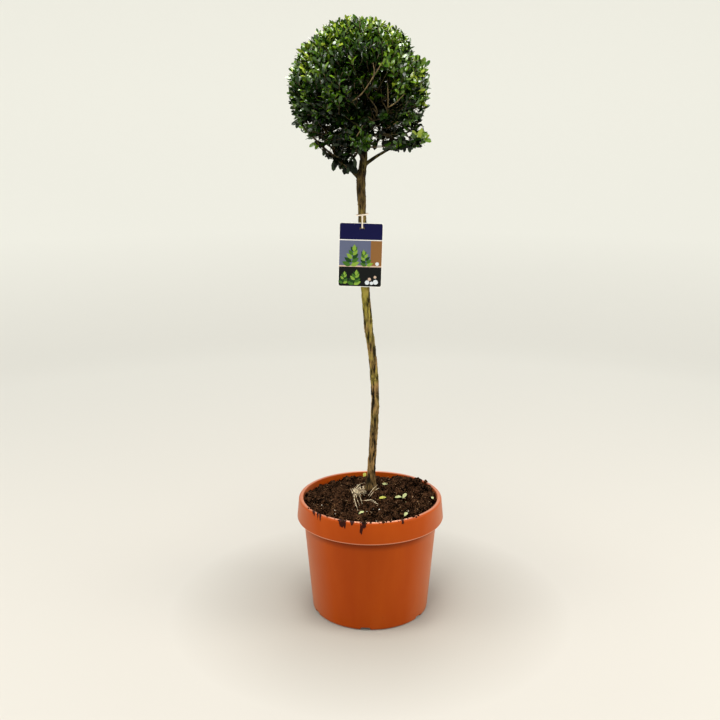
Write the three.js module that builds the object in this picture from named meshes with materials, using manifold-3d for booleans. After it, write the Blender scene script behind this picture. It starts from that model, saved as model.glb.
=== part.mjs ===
// A clipped small-leaved shrub grown as a ball on a bare stem, in a terracotta-coloured plastic pot.
// Units are millimetres and +Z is up. The origin is the middle of the pot's flat underside,
// and -Y is the side that the label hangs on.

import * as THREE from "three";
import { mergeVertices } from "three/addons/utils/BufferGeometryUtils.js";
import Module from "manifold-3d";

const wasm = await Module();
wasm.setup();

// Driving dimensions

const GAP = 0.3; // clearance that pieces resting on each other keep
const ARC_STEPS = 2; // straight steps in each rounded corner of the pot's section

const POT = {
  height: 216,
  footRadius: 109,
  footRound: 5,
  shoulderRadius: 125, // outside of the body, just under the collar
  collarTopRadius: 134,
  collarLowRadius: 137,
  collarHeight: 40,
  collarRound: 3.2,
  lipWidth: 8, // flat top between the collar's face and the inside wall
  lipRound: 4, // on the outside, with a smaller one inside
  lipInnerRound: 1.5,
  lipThickness: 3.6,
  rollEnd: -75, // degrees below level at which the collar's rolled edge stops
  wall: 2.6,
  floor: 3.5,
  sides: 45,
  drains: { count: 6, width: 18, height: 6, inward: 14, firstAngle: -95 },
};

const SOIL = {
  edgeHeight: 209, // where the soil meets the pot's wall
  padRadius: 24, // level patch that the stem stands on
  lumps: 2.2,
  rings: 6,
  // Where the soil is heaped and where it has sunk: x, y, height and how far it spreads.
  swells: [
    [70, 62, 3.5, 37],
    [-70, 80, -6, 51],
  ],
};

// Each row is x, y, z and radius on the stem's centreline, from the soil to the tip inside the crown.
const STEM = {
  rows: [
    [1, 20, 219, 8.6],
    [2.6, 19, 262, 7.6],
    [6, 17, 320, 7.4],
    [9.2, 15, 395, 7.3],
    [5.6, 12, 465, 7.4],
    [-3.8, 9, 540, 7.7],
    [-9.5, 6, 611, 7.6],
    [-13, 4, 680, 7.3],
    [-15.6, 2, 757, 7.2],
    [-17.4, 1, 800, 8.0],
    [-13.6, 0, 836, 6.9],
    [-11.4, 0, 852, 5.6],
    [-9, 0, 865, 4.7],
  ],
  sides: 12,
  steps: 34,
  flare: 0.55, // extra share of the radius at the soil
  flareHeight: 11,
  // The flare runs out into roots: how many, how much they stand out, and their turn in radians.
  roots: [
    [3, 0.35, 0.6],
    [5, 0.18, 2],
  ],
  knobs: [
    // height, angle in degrees, bulge and length of the healed pruning scars
    [302, 200, 1.3, 7],
    [441, 150, 2.0, 8],
    [553, 215, 1.6, 9],
    [590, 170, 2.2, 11],
    [700, 20, 1.3, 8],
    [770, 185, 2.2, 8],
    [806, 30, 1.8, 10],
  ],
};

// The clipped ball and the looser shoots below it.
const CROWN = {
  centre: new THREE.Vector3(-22, 0, 962.5),
  radius: 126.5,
  // The ball proper is above this height, and the loose sprays are below it or outside the ball.
  split: 868,
};

// The core is a ball whose underside is flattened, so that it stays above the split.
const CORE = { radius: 98, lowerSquash: 0.92, detail: 3, lumps: 2.4 };

// Each mass grows on one stem, from the tip of its bough or of the trunk.
const MASS_STEM = { steps: 4, sides: 6, lead: 0.4 };

const TWIG = { sides: 3, radius: 1.6, sunk: 0.6 };

const LEAF = { length: 33, width: 19, thickness: 1, widest: 0.56, sunk: 1.5 };

// How leaves sit on a shoot: their angle from it in radians, and their size beside the full one.
const HABIT = {
  lean: 1.05,
  tipLean: 0.85,
  leanVariety: 0.35,
  smallest: 0.85,
  sizeVariety: 0.25,
  tipSize: 0.75,
  lastShare: 0.97,
  cupped: 0.2, // how far a leaf's upper side turns in towards the shoot
};

const BALL = {
  seed: 11,
  twigs: 84,
  leavesPerTwig: 4,
  firstLeaf: 0.55, // share of a twig at which its leaves start
  tilt: 0.3,
  twigStart: 84,
  twigEnd: 113,
  endClearance: 8, // how far above the split twigs end
  startClearance: 14,
  stemEndRadius: 3,
  stemDepth: 0.7, // how far down the core its stem reaches it
};

const BOUGH = { steps: 6, sides: 8 };

// A bough leaves the stem at a height, and its points are x, y and z on the way to its tip.
const BOUGHS = {
  right: { from: 830, points: [[10, -2, 847], [27, -4, 857]], radii: [3.6, 2.9, 2.3] },
  left: { from: 808, points: [[-33, -3, 822], [-47, -6, 833]], radii: [5.2, 4.2, 3.2] },
  front: { from: 832, points: [[-14, -15, 843], [-20, -29, 852]], radii: [3.4, 2.8, 2.2] },
  back: { from: 824, points: [[-16, 16, 838], [-18, 31, 849]], radii: [3.8, 3, 2.3] },
};

// Leaves are tested against points along the limbs, which keep this clearance.
const SAMPLES = { stemFrom: 700, stem: 90, bough: 20, clearance: 2.5 };

// Each loose spray fills a wedge under and beside the ball, turned to its azimuth.
// low and high bound its leaves, and reach is how far it goes out from the stem.
const SPRAYS = {
  right: { azimuth: -2, spread: 46, low: 844, high: 892, reach: 114, seed: 21, aim: [68, -2, 862] },
  left: { azimuth: 181, spread: 44, low: 812, high: 872, reach: 92, seed: 36, aim: [-78, -4, 850] },
  front: { azimuth: 270, spread: 43, low: 832, high: 872, reach: 82, seed: 43, aim: [-26, -62, 857] },
  back: { azimuth: 90, spread: 43, low: 832, high: 872, reach: 82, seed: 57, aim: [-20, 62, 856] },
};

const SPRAY_RULE = {
  shoots: 9,
  leavesPerShoot: 4,
  leafSize: 0.85, // of a leaf on the ball
  innerOffset: 19, // keeps the wedge clear of the stem
  firstLeaf: 0.3,
  firstRoot: 0.12, // share of the spray's stem at which its shoots start
  lastRoot: 0.97,
  nearest: 0.45, // share of the reach that the innermost shoot has
  riseVariety: 0.5,
  stemEndRadius: 1.1,
  turnShare: 0.82, // how far towards the wedge's walls the outermost shoots turn
  edge: 4, // shoots end this far inside the wedge
  riseBeside: 24,
  ballGap: 1.5, // more than a leaf's length bulges past a chord of the ball
};

const LABEL = {
  width: 78,
  height: 115,
  thickness: 0.8,
  corner: 4,
  slotWidth: 9,
  slotHeight: 3.2,
  slotDrop: 9, // middle of the slot below the card's top edge
  left: -55.9, // x of the card's left edge
  top: 730.5,
  swing: -1.6, // degrees, clockwise from the front
  strapHeight: 744,
  strapBand: 5,
  strapThickness: 1.2,
  hookDepth: 2.6, // from the loop to the card's back
  hookLift: 4, // how far the hook turns up behind the card
  hookPlay: 0.6, // between the hook and the card
  strapPlay: 3.2, // how much wider the loop is than the stem
  strapSeat: 0.45, // clearance left where the loop bears on the back of the stem
};

const COLOURS = {
  pot: { color: 0xb4491c, roughness: 0.42 },
  soil: { color: 0x2b1a12, roughness: 0.95 },
  bark: { color: 0x6e6136, roughness: 0.85 },
  bough: { color: 0x4c3a26, roughness: 0.85 },
  foliage: { color: 0x2f5c1b, roughness: 0.5 },
  spray: { color: 0x3b6a20, roughness: 0.5 },
  card: { color: 0x23305a, roughness: 0.4 },
  strap: { color: 0xe8e4da, roughness: 0.4 },
};

// Helpers

const UP = new THREE.Vector3(0, 0, 1);
const radians = THREE.MathUtils.degToRad;

// A repeatable stream of numbers from 0 to 1.
function seeded(seed) {
  let state = seed >>> 0;
  return () => {
    state = (state + 0x6d2b79f5) >>> 0;
    let t = state;
    t = Math.imul(t ^ (t >>> 15), t | 1);
    t ^= t + Math.imul(t ^ (t >>> 7), t | 61);
    return ((t ^ (t >>> 14)) >>> 0) / 4294967296;
  };
}

// A closed three.js geometry as a solid that can be joined and cut.
function solid(geometry) {
  const bare = new THREE.BufferGeometry();
  bare.setAttribute("position", geometry.getAttribute("position"));
  bare.setIndex(geometry.index);
  const merged = mergeVertices(bare, 1e-3);
  return new wasm.Manifold(
    new wasm.Mesh({
      numProp: 3,
      vertProperties: merged.attributes.position.array,
      triVerts: new Uint32Array(merged.index.array),
    }),
  );
}

function geometryOf(manifold) {
  const mesh = manifold.getMesh();
  const points = new Float32Array(mesh.numVert * 3);
  for (let i = 0; i < mesh.numVert; i++) {
    const first = i * mesh.numProp;
    points.set(mesh.vertProperties.subarray(first, first + 3), i * 3);
  }
  const geometry = new THREE.BufferGeometry();
  geometry.setAttribute("position", new THREE.BufferAttribute(points, 3));
  geometry.setIndex(new THREE.BufferAttribute(mesh.triVerts, 1));
  geometry.computeVertexNormals();
  return geometry;
}

// The biggest piece of a solid, so that a loose scrap left by a cut is dropped.
function biggest(manifold) {
  return manifold.decompose().reduce((a, b) => (a.volume() > b.volume() ? a : b));
}

function mesh(name, geometry, look) {
  const material = new THREE.MeshStandardMaterial({ metalness: 0, ...look });
  const made = new THREE.Mesh(geometry, material);
  made.name = name;
  return made;
}

// A cylinder bent along a curve. radiusAt(t, angle) is its radius at a share t of the length.
function limb(curve, steps, sides, radiusAt) {
  const frames = curve.computeFrenetFrames(steps, false);
  const geometry = new THREE.CylinderGeometry(1, 1, 1, sides, steps);
  const position = geometry.getAttribute("position");
  const across = new THREE.Vector3();
  for (let i = 0; i < position.count; i++) {
    const step = Math.round((position.getY(i) + 0.5) * steps);
    const x = position.getX(i);
    const z = position.getZ(i);
    const t = step / steps;
    const angle = Math.atan2(z, x);
    const radius = Math.hypot(x, z) * radiusAt(t, angle);
    across
      .copy(frames.normals[step])
      .multiplyScalar(Math.cos(angle) * radius)
      .addScaledVector(frames.binormals[step], -Math.sin(angle) * radius);
    const centre = curve.getPointAt(t);
    position.setXYZ(i, centre.x + across.x, centre.y + across.y, centre.z + across.z);
  }
  return geometry;
}

// Smooth unevenness between about -1.6 and 1.6, from three lengths in mm.
function waves(a, b, c) {
  const [coarse, middling, fine] = [0.19, 0.23, 0.37];
  return Math.sin(a * coarse + 1.3) * Math.cos(b * middling - 0.4) + 0.6 * Math.sin(c * fine + 2);
}

// Linear reading of evenly spaced values at a share t.
function along(values, t) {
  const place = t * (values.length - 1);
  const first = Math.min(Math.floor(place), values.length - 2);
  return THREE.MathUtils.lerp(values[first], values[first + 1], place - first);
}

// Pot

// One quarter turn of a rounded corner in the section, as points [radius, height].
function corner(centre, size, startDegrees, endDegrees) {
  const arc = new THREE.EllipseCurve(
    centre[0],
    centre[1],
    size,
    size,
    radians(startDegrees),
    radians(endDegrees),
    endDegrees < startDegrees,
  );
  return arc.getPoints(ARC_STEPS);
}

function outerWall(z) {
  const share = (z - POT.footRound) / (POT.height - POT.collarHeight - POT.footRound);
  return THREE.MathUtils.lerp(POT.footRadius, POT.shoulderRadius, share);
}

function innerWall(z) {
  return outerWall(z) - POT.wall;
}

function potSection() {
  const { height, footRadius, footRound, collarTopRadius, collarLowRadius } = POT;
  const { collarHeight, collarRound, lipWidth, lipRound, lipInnerRound, rollEnd, wall, floor } = POT;
  const skirtFoot = height - collarHeight;
  const roofHeight = height - POT.lipThickness; // underside of the lip, over the collar's hollow
  const innerTop = collarTopRadius - lipWidth;
  const wallTop = innerTop + wall; // outside of the wall where it meets the collar
  const rollCentre = [collarLowRadius - collarRound, skirtFoot + collarRound];
  return [
    new THREE.Vector2(0, 0),
    ...corner([footRadius - footRound, footRound], footRound, -90, 0),
    new THREE.Vector2(outerWall(skirtFoot), skirtFoot),
    new THREE.Vector2(wallTop, roofHeight),
    new THREE.Vector2(collarTopRadius - wall, roofHeight),
    new THREE.Vector2(collarLowRadius - wall, rollCentre[1]),
    ...corner(rollCentre, collarRound - wall, 0, rollEnd),
    ...corner(rollCentre, collarRound, rollEnd, 0),
    ...corner([collarTopRadius - lipRound, height - lipRound], lipRound, 0, 90),
    ...corner([innerTop + lipInnerRound, height - lipInnerRound], lipInnerRound, 90, 180),
    new THREE.Vector2(innerWall(skirtFoot), skirtFoot),
    new THREE.Vector2(innerWall(floor), floor),
    new THREE.Vector2(0, floor),
  ];
}

function drainCut(index) {
  const { count, width, height, inward, firstAngle } = POT.drains;
  const depth = inward * 2;
  const angle = radians(firstAngle + (index * 360) / count);
  const block = new THREE.BoxGeometry(depth, width, height * 2);
  block.translate(POT.footRadius, 0, 0);
  block.rotateZ(angle);
  return solid(block);
}

function makePot() {
  const lathe = new THREE.LatheGeometry(potSection(), POT.sides);
  lathe.rotateX(Math.PI / 2);
  let pot = solid(lathe);
  for (let i = 0; i < POT.drains.count; i++) pot = pot.subtract(drainCut(i));
  return geometryOf(pot);
}

// Soil

const stemFoot = new THREE.Vector3(...STEM.rows[0].slice(0, 3));

// Height of the soil, mounded round the stem, low at the back on the left and heaped on the right.
function soilHeight(x, y) {
  const fromStem = Math.hypot(x - stemFoot.x, y - stemFoot.y);
  const out = Math.min(Math.hypot(x, y) / innerWall(SOIL.edgeHeight), 1);
  const mound = (stemFoot.z - SOIL.edgeHeight) * (1 - out ** 2);
  const swell = SOIL.swells.reduce(
    (sum, [sx, sy, rise, spread]) =>
      sum + rise * Math.exp(-((x - sx) ** 2 + (y - sy) ** 2) / spread ** 2),
    0,
  );
  const free = SOIL.edgeHeight + mound + swell + SOIL.lumps * waves(x, y, x + y);
  const blend = THREE.MathUtils.smoothstep(fromStem, SOIL.padRadius, SOIL.padRadius * 1.9);
  return THREE.MathUtils.lerp(stemFoot.z - GAP, free, blend);
}

// Inside of the pot at a height, where it flares towards the lip.
function insideRadius(z) {
  const skirtFoot = POT.height - POT.collarHeight;
  if (z < skirtFoot) return innerWall(z);
  const share = (z - skirtFoot) / (POT.height - skirtFoot);
  return THREE.MathUtils.lerp(innerWall(skirtFoot), POT.collarTopRadius - POT.lipWidth, share);
}

// A lathe through the pot's inside whose top rings are then lifted to the lumpy surface.
function makeSoil() {
  const bottom = POT.floor + GAP;
  const edge = SOIL.edgeHeight;
  const skirtFoot = POT.height - POT.collarHeight;
  const edgeRadius = insideRadius(edge) - GAP;
  const section = [
    new THREE.Vector2(0, bottom),
    new THREE.Vector2(innerWall(bottom) - GAP, bottom),
    new THREE.Vector2(innerWall(skirtFoot) - GAP, skirtFoot),
  ];
  for (let ring = SOIL.rings; ring >= 0; ring--) {
    section.push(new THREE.Vector2((edgeRadius * ring) / SOIL.rings, edge));
  }
  const lathe = new THREE.LatheGeometry(section, POT.sides);
  lathe.rotateX(Math.PI / 2);
  const position = lathe.getAttribute("position");
  for (let i = 0; i < position.count; i++) {
    if (position.getZ(i) < edge - 1) continue;
    // The rings gather round the stem, so that its patch of soil is level.
    const x = position.getX(i);
    const y = position.getY(i);
    const out = Math.hypot(x, y) / edgeRadius;
    const height = soilHeight(x, y);
    const fit = out > 0.999 ? (insideRadius(height) - GAP) / edgeRadius : 1;
    const movedX = x * fit + stemFoot.x * Math.max(1 - out, 0);
    const movedY = y * fit + stemFoot.y * Math.max(1 - out, 0);
    position.setXYZ(i, movedX, movedY, out > 0.999 ? height : soilHeight(movedX, movedY));
  }
  return lathe;
}

// Stem and boughs

const stemCurve = new THREE.CatmullRomCurve3(
  STEM.rows.map(([x, y, z]) => new THREE.Vector3(x, y, z)),
  false,
  "centripetal",
);
stemCurve.arcLengthDivisions = 800;

// The share of the stem's length at which it passes a height.
function shareAtHeight(z) {
  let low = 0;
  let high = 1;
  for (let i = 0; i < 40; i++) {
    const middle = (low + high) / 2;
    if (stemCurve.getPointAt(middle).z < z) low = middle;
    else high = middle;
  }
  return (low + high) / 2;
}

// Radius from the rows' own, which are spaced by height.
function plainRadius(z) {
  const rows = STEM.rows;
  let next = rows.findIndex((row) => row[2] >= z);
  if (next < 0) return rows[rows.length - 1][3];
  next = Math.max(next, 1);
  const [below, above] = [rows[next - 1], rows[next]];
  const share = THREE.MathUtils.clamp((z - below[2]) / (above[2] - below[2]), 0, 1);
  return THREE.MathUtils.lerp(below[3], above[3], share);
}

function stemRadius(t, angle) {
  const z = stemCurve.getPointAt(t).z;
  const base = plainRadius(z);
  const rootLobes = STEM.roots.reduce(
    (sum, [count, size, turn]) => sum + size * Math.cos(count * angle + turn),
    1,
  );
  const flare = STEM.flare * Math.exp(-(z - stemFoot.z) / STEM.flareHeight) * rootLobes;
  let bulge = 0;
  for (const [height, degrees, size, length] of STEM.knobs) {
    const facing = Math.max(Math.cos(angle - radians(degrees)), 0) ** 2;
    bulge += size * facing * Math.exp(-(((z - height) / length) ** 2));
  }
  return base * (1 + flare) + bulge;
}

// The stem, or the same stem made fatter to cut a neighbour clear of it.
function stemSolid(extra) {
  const radiusAt = (t, angle) => stemRadius(t, angle) + extra;
  return solid(limb(stemCurve, STEM.steps, STEM.sides, radiusAt));
}

const boughClearance = GAP + 0.15;
const tipClearance = GAP + 0.1;
const stemCutter = stemSolid(boughClearance);

function boughCurve(bough) {
  const root = stemCurve.getPointAt(shareAtHeight(bough.from));
  return new THREE.CatmullRomCurve3([
    root,
    ...bough.points.map(([x, y, z]) => new THREE.Vector3(x, y, z)),
  ]);
}

function makeStem() {
  const level = stemFoot.z;
  return geometryOf(biggest(stemSolid(0).trimByPlane([0, 0, 1], level)));
}

function makeBough(bough) {
  const shape = limb(boughCurve(bough), BOUGH.steps, BOUGH.sides, (t) => along(bough.radii, t));
  return geometryOf(biggest(solid(shape).subtract(stemCutter)));
}

// Leaves and twigs

// Straight twig of three sides that runs to a point.
function twigSolid(start, end, radius) {
  const axis = end.clone().sub(start);
  const cone = new THREE.ConeGeometry(radius, axis.length(), TWIG.sides, 1);
  cone.translate(0, axis.length() / 2, 0);
  cone.applyQuaternion(new THREE.Quaternion().setFromUnitVectors(
    new THREE.Vector3(0, 1, 0),
    axis.clone().normalize(),
  ));
  cone.translate(start.x, start.y, start.z);
  return cone;
}

// Leaf of eight faces with its base at the origin, along +X, its upper side facing +Z.
function leafBlank(size) {
  const blank = new THREE.OctahedronGeometry(1, 0);
  const position = blank.getAttribute("position");
  for (let i = 0; i < position.count; i++) {
    const x = position.getX(i);
    const onMidline = Math.abs(x) > 0.5;
    const share = onMidline ? (x + 1) / 2 : LEAF.widest;
    const y = position.getY(i) * (LEAF.width / 2);
    const z = position.getZ(i) * (LEAF.thickness / 2);
    position.setXYZ(i, share * LEAF.length * size, y * size, z * size);
  }
  return blank;
}

// Leaf whose base is at a point, along a direction, with its upper side as near to a facing as it can be.
function leafAt(base, direction, facing, size) {
  const forward = direction.clone().normalize();
  const side = new THREE.Vector3().crossVectors(facing, forward).normalize();
  const top = new THREE.Vector3().crossVectors(forward, side);
  const leaf = leafBlank(size);
  leaf.applyMatrix4(new THREE.Matrix4().makeBasis(forward, side, top).setPosition(base));
  return leaf;
}

function pointsOf(geometry) {
  const position = geometry.getAttribute("position");
  return Array.from({ length: position.count }, (_, i) =>
    new THREE.Vector3().fromBufferAttribute(position, i),
  );
}

// Sample points on every limb, with their radii, for keeping leaves off them.
const limbSamples = [];

function sampleLimb(curve, radiusAt, firstShare, samples) {
  for (let i = 0; i <= samples; i++) {
    const t = THREE.MathUtils.lerp(firstShare, 1, i / samples);
    const point = curve.getPointAt(t);
    limbSamples.push({ point, radius: radiusAt(t, point) });
  }
}

sampleLimb(stemCurve, (t, point) => plainRadius(point.z), shareAtHeight(SAMPLES.stemFrom), SAMPLES.stem);
for (const bough of Object.values(BOUGHS)) {
  sampleLimb(boughCurve(bough), (t) => along(bough.radii, t), 0, SAMPLES.bough);
}

function clearOfLimbs(points, ends) {
  const keep = SAMPLES.clearance;
  const tests = [...points];
  for (const share of [0.25, 0.5, 0.75]) tests.push(ends[0].clone().lerp(ends[1], share));
  return tests.every((p) =>
    limbSamples.every(({ point, radius }) => p.distanceTo(point) > radius + keep),
  );
}

// A turn about a direction, spread evenly by the golden angle.
const GOLDEN = Math.PI * (3 - Math.sqrt(5));

function perpendicular(direction, turn) {
  const reference = Math.abs(direction.z) < 0.9 ? UP : new THREE.Vector3(1, 0, 0);
  const side = new THREE.Vector3().crossVectors(direction, reference).normalize();
  return side.applyAxisAngle(direction, turn);
}

// Adds the leaves of one shoot: side leaves up its outer part, and a smaller one at the tip.
function addLeaves(pieces, start, end, rule, random, allowed) {
  const { count, firstShare, size } = rule;
  const direction = end.clone().sub(start).normalize();
  const firstTurn = random() * Math.PI * 2;
  for (let i = 0; i < count; i++) {
    const atTip = i === count - 1;
    const share = THREE.MathUtils.lerp(firstShare, HABIT.lastShare, i / (count - 1));
    const side = perpendicular(direction, firstTurn + i * GOLDEN);
    const lean = (atTip ? HABIT.tipLean : HABIT.lean) + HABIT.leanVariety * random();
    const heading = direction.clone().multiplyScalar(Math.cos(lean));
    heading.addScaledVector(side, Math.sin(lean)).normalize();
    const base = start.clone().lerp(end, share).addScaledVector(heading, -LEAF.sunk);
    const facing = direction.clone().addScaledVector(side, -HABIT.cupped);
    const grown = size * (atTip ? HABIT.tipSize : HABIT.smallest + HABIT.sizeVariety * random());
    const leaf = leafAt(base, heading, facing, grown);
    const points = pointsOf(leaf);
    const tip = base.clone().addScaledVector(heading, LEAF.length * grown);
    if (allowed(points) && clearOfLimbs(points, [base, tip])) pieces.push(leaf);
  }
}

// The way from just past a limb's tip to a point in its mass, leaving along the limb.
function onwards(limbCurve, target) {
  const tangent = limbCurve.getTangentAt(1);
  const start = limbCurve.getPointAt(1).addScaledVector(tangent, tipClearance);
  const bend = start.clone().addScaledVector(tangent, start.distanceTo(target) * MASS_STEM.lead);
  return new THREE.QuadraticBezierCurve3(start, bend, target);
}

function joined(geometries) {
  const union = wasm.Manifold.union(geometries.map(solid));
  return geometryOf(biggest(union.simplify(0.01)));
}

// The clipped ball: a core with shoots that end at the clipped surface.

function insideBall(points) {
  return points.every(
    (p) => p.distanceTo(CROWN.centre) < CROWN.radius && p.z > CROWN.split + GAP,
  );
}

// Lumpy ball round the crown's centre, flattened below.
function coreShape() {
  const core = new THREE.IcosahedronGeometry(CORE.radius, CORE.detail);
  const position = core.getAttribute("position");
  for (let i = 0; i < position.count; i++) {
    const p = new THREE.Vector3().fromBufferAttribute(position, i);
    p.setLength(CORE.radius + CORE.lumps * waves(p.x, p.y, p.z));
    position.setXYZ(i, p.x, p.y, p.z < 0 ? p.z * CORE.lowerSquash : p.z);
  }
  core.translate(...CROWN.centre);
  return core;
}

function makeBall() {
  const random = seeded(BALL.seed);
  const pieces = [coreShape()];

  // The stem of this mass rises from the tip of the trunk into the core.
  const coreDrop = CORE.radius * CORE.lowerSquash * BALL.stemDepth;
  const coreFoot = CROWN.centre.clone().setZ(CROWN.centre.z - coreDrop);
  const stemPath = onwards(stemCurve, coreFoot);
  const stemEnds = [STEM.rows[STEM.rows.length - 1][3], BALL.stemEndRadius];
  pieces.push(limb(stemPath, MASS_STEM.steps, MASS_STEM.sides, (t) => along(stemEnds, t)));

  for (let i = 0; i < BALL.twigs; i++) {
    const height = 1 - (2 * (i + 0.5)) / BALL.twigs;
    const turn = i * GOLDEN;
    const flat = Math.sqrt(1 - height * height);
    const out = new THREE.Vector3(flat * Math.cos(turn), flat * Math.sin(turn), height);
    const end = CROWN.centre.clone().addScaledVector(out, BALL.twigEnd);
    if (end.z < CROWN.split + BALL.endClearance) continue;
    const skew = perpendicular(out, random() * Math.PI * 2).multiplyScalar(BALL.tilt * random());
    const start = CROWN.centre.clone().addScaledVector(
      out.clone().add(skew).normalize(),
      BALL.twigStart,
    );
    start.z = Math.max(start.z, CROWN.split + BALL.startClearance);
    pieces.push(twigSolid(start, end, TWIG.radius));
    const rule = { count: BALL.leavesPerTwig, firstShare: BALL.firstLeaf, size: 1 };
    addLeaves(pieces, start, end, rule, random, insideBall);
  }
  return joined(pieces);
}

// The loose sprays below the ball

const SPRAY_APEX = new THREE.Vector3(-10, 0, 0);
// How far from the crown's axis a shoot may rise above the split, clear of the ball.
const BESIDE_BALL = Math.sqrt(
  CROWN.radius ** 2 - (CROWN.centre.z - CROWN.split - SPRAY_RULE.riseBeside) ** 2,
);

function wedgeTest(spray) {
  const middle = radians(spray.azimuth);
  const edges = [middle - radians(spray.spread), middle + radians(spray.spread)];
  const outward = new THREE.Vector3(Math.cos(middle), Math.sin(middle), 0);
  const walls = [
    new THREE.Vector3(-Math.sin(edges[0]), Math.cos(edges[0]), 0),
    new THREE.Vector3(Math.sin(edges[1]), -Math.cos(edges[1]), 0),
  ];
  const outsideBall = (p) => p.distanceTo(CROWN.centre) > CROWN.radius + SPRAY_RULE.ballGap;
  const belowBall = (p) => p.z < CROWN.split - GAP;
  return (points) =>
    (points.every(belowBall) || points.every(outsideBall)) &&
    points.every((p) => {
      const fromApex = p.clone().sub(SPRAY_APEX).setZ(0);
      return (
        p.z < spray.high &&
        p.z > spray.low &&
        fromApex.length() < spray.reach &&
        fromApex.dot(outward) > SPRAY_RULE.innerOffset &&
        walls.every((wall) => fromApex.dot(wall) > GAP)
      );
    });
}

// Shoots fan out to both sides of the wedge in turn, low ones near the stem and high ones further out.
function shootEnd(spray, i) {
  const { shoots, turnShare, edge } = SPRAY_RULE;
  const outward = i / (shoots - 1);
  const swing = Math.sin(i * GOLDEN) * turnShare;
  const azimuth = radians(spray.azimuth + spray.spread * swing);
  const reach = THREE.MathUtils.lerp(spray.reach * SPRAY_RULE.nearest, spray.reach - edge, outward);
  const rise = THREE.MathUtils.clamp(outward + SPRAY_RULE.riseVariety * Math.cos(i * 4), 0, 1);
  const end = new THREE.Vector3(Math.cos(azimuth), Math.sin(azimuth), 0).multiplyScalar(reach);
  end.add(SPRAY_APEX);
  const fromAxis = end.distanceTo(CROWN.centre.clone().setZ(0));
  const beside = fromAxis > BESIDE_BALL;
  const top = beside ? spray.high : CROWN.split;
  return end.setZ(THREE.MathUtils.lerp(spray.low + edge, top - edge, rise));
}

function makeSpray(name) {
  const spray = SPRAYS[name];
  const bough = BOUGHS[name];
  const random = seeded(spray.seed);
  const allowed = wedgeTest(spray);
  const path = onwards(boughCurve(bough), new THREE.Vector3(...spray.aim));
  const stemEnds = [bough.radii[bough.radii.length - 1], SPRAY_RULE.stemEndRadius];
  const pieces = [limb(path, MASS_STEM.steps, MASS_STEM.sides, (t) => along(stemEnds, t))];

  const { shoots, firstRoot, lastRoot, leavesPerShoot, firstLeaf, leafSize } = SPRAY_RULE;
  for (let i = 0; i < shoots; i++) {
    const root = path.getPointAt(THREE.MathUtils.lerp(firstRoot, lastRoot, i / (shoots - 1)));
    const end = shootEnd(spray, i);
    const foot = root.clone().addScaledVector(end.clone().sub(root).normalize(), -TWIG.sunk);
    if (!allowed([foot.clone().lerp(end, 0.5), end])) continue;
    pieces.push(twigSolid(foot, end, TWIG.radius));
    const rule = { count: leavesPerShoot, firstShare: firstLeaf, size: leafSize };
    addLeaves(pieces, foot, end, rule, random, allowed);
  }
  return joined(pieces);
}

// Label

function roundedRectangle(width, height, radius) {
  const outline = new THREE.Shape();
  outline.moveTo(radius, 0);
  outline.lineTo(width - radius, 0);
  outline.absarc(width - radius, radius, radius, -Math.PI / 2, 0);
  outline.lineTo(width, height - radius);
  outline.absarc(width - radius, height - radius, radius, 0, Math.PI / 2);
  outline.lineTo(radius, height);
  outline.absarc(radius, height - radius, radius, Math.PI / 2, Math.PI);
  outline.lineTo(0, radius);
  outline.absarc(radius, radius, radius, Math.PI, Math.PI * 1.5);
  return outline;
}

const strapShare = shareAtHeight(LABEL.strapHeight);
const strapCentre = stemCurve.getPointAt(strapShare);
const strapInner = plainRadius(LABEL.strapHeight) + LABEL.strapPlay;
const strapOuter = strapInner + LABEL.strapThickness;
// The card's weight pulls the loop forward, so that it bears on the back of the stem.
strapCentre.y -= LABEL.strapPlay - LABEL.strapSeat;
const cardBack = strapCentre.y - strapOuter - LABEL.hookDepth; // y of the card's back face
const slotX = strapCentre.x;

// The card hangs from its slot, a little askew.
function makeCard() {
  const outline = roundedRectangle(LABEL.width, LABEL.height, LABEL.corner);
  const slot = new THREE.Path();
  const slotLeft = slotX - LABEL.left - LABEL.slotWidth / 2;
  const slotLow = LABEL.height - LABEL.slotDrop - LABEL.slotHeight / 2;
  slot.moveTo(slotLeft, slotLow);
  slot.lineTo(slotLeft, slotLow + LABEL.slotHeight);
  slot.lineTo(slotLeft + LABEL.slotWidth, slotLow + LABEL.slotHeight);
  slot.lineTo(slotLeft + LABEL.slotWidth, slotLow);
  outline.holes.push(slot);
  const card = new THREE.ExtrudeGeometry(outline, {
    depth: LABEL.thickness,
    bevelEnabled: false,
    curveSegments: 4,
  });
  // Turned about the slot, then stood up with its printed side towards -Y.
  const slotCentre = [slotX - LABEL.left, LABEL.height - LABEL.slotDrop];
  card.translate(-slotCentre[0], -slotCentre[1], 0);
  card.rotateZ(radians(LABEL.swing));
  card.rotateX(Math.PI / 2);
  card.translate(slotX, cardBack, LABEL.top - LABEL.slotDrop);
  return card;
}

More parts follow.
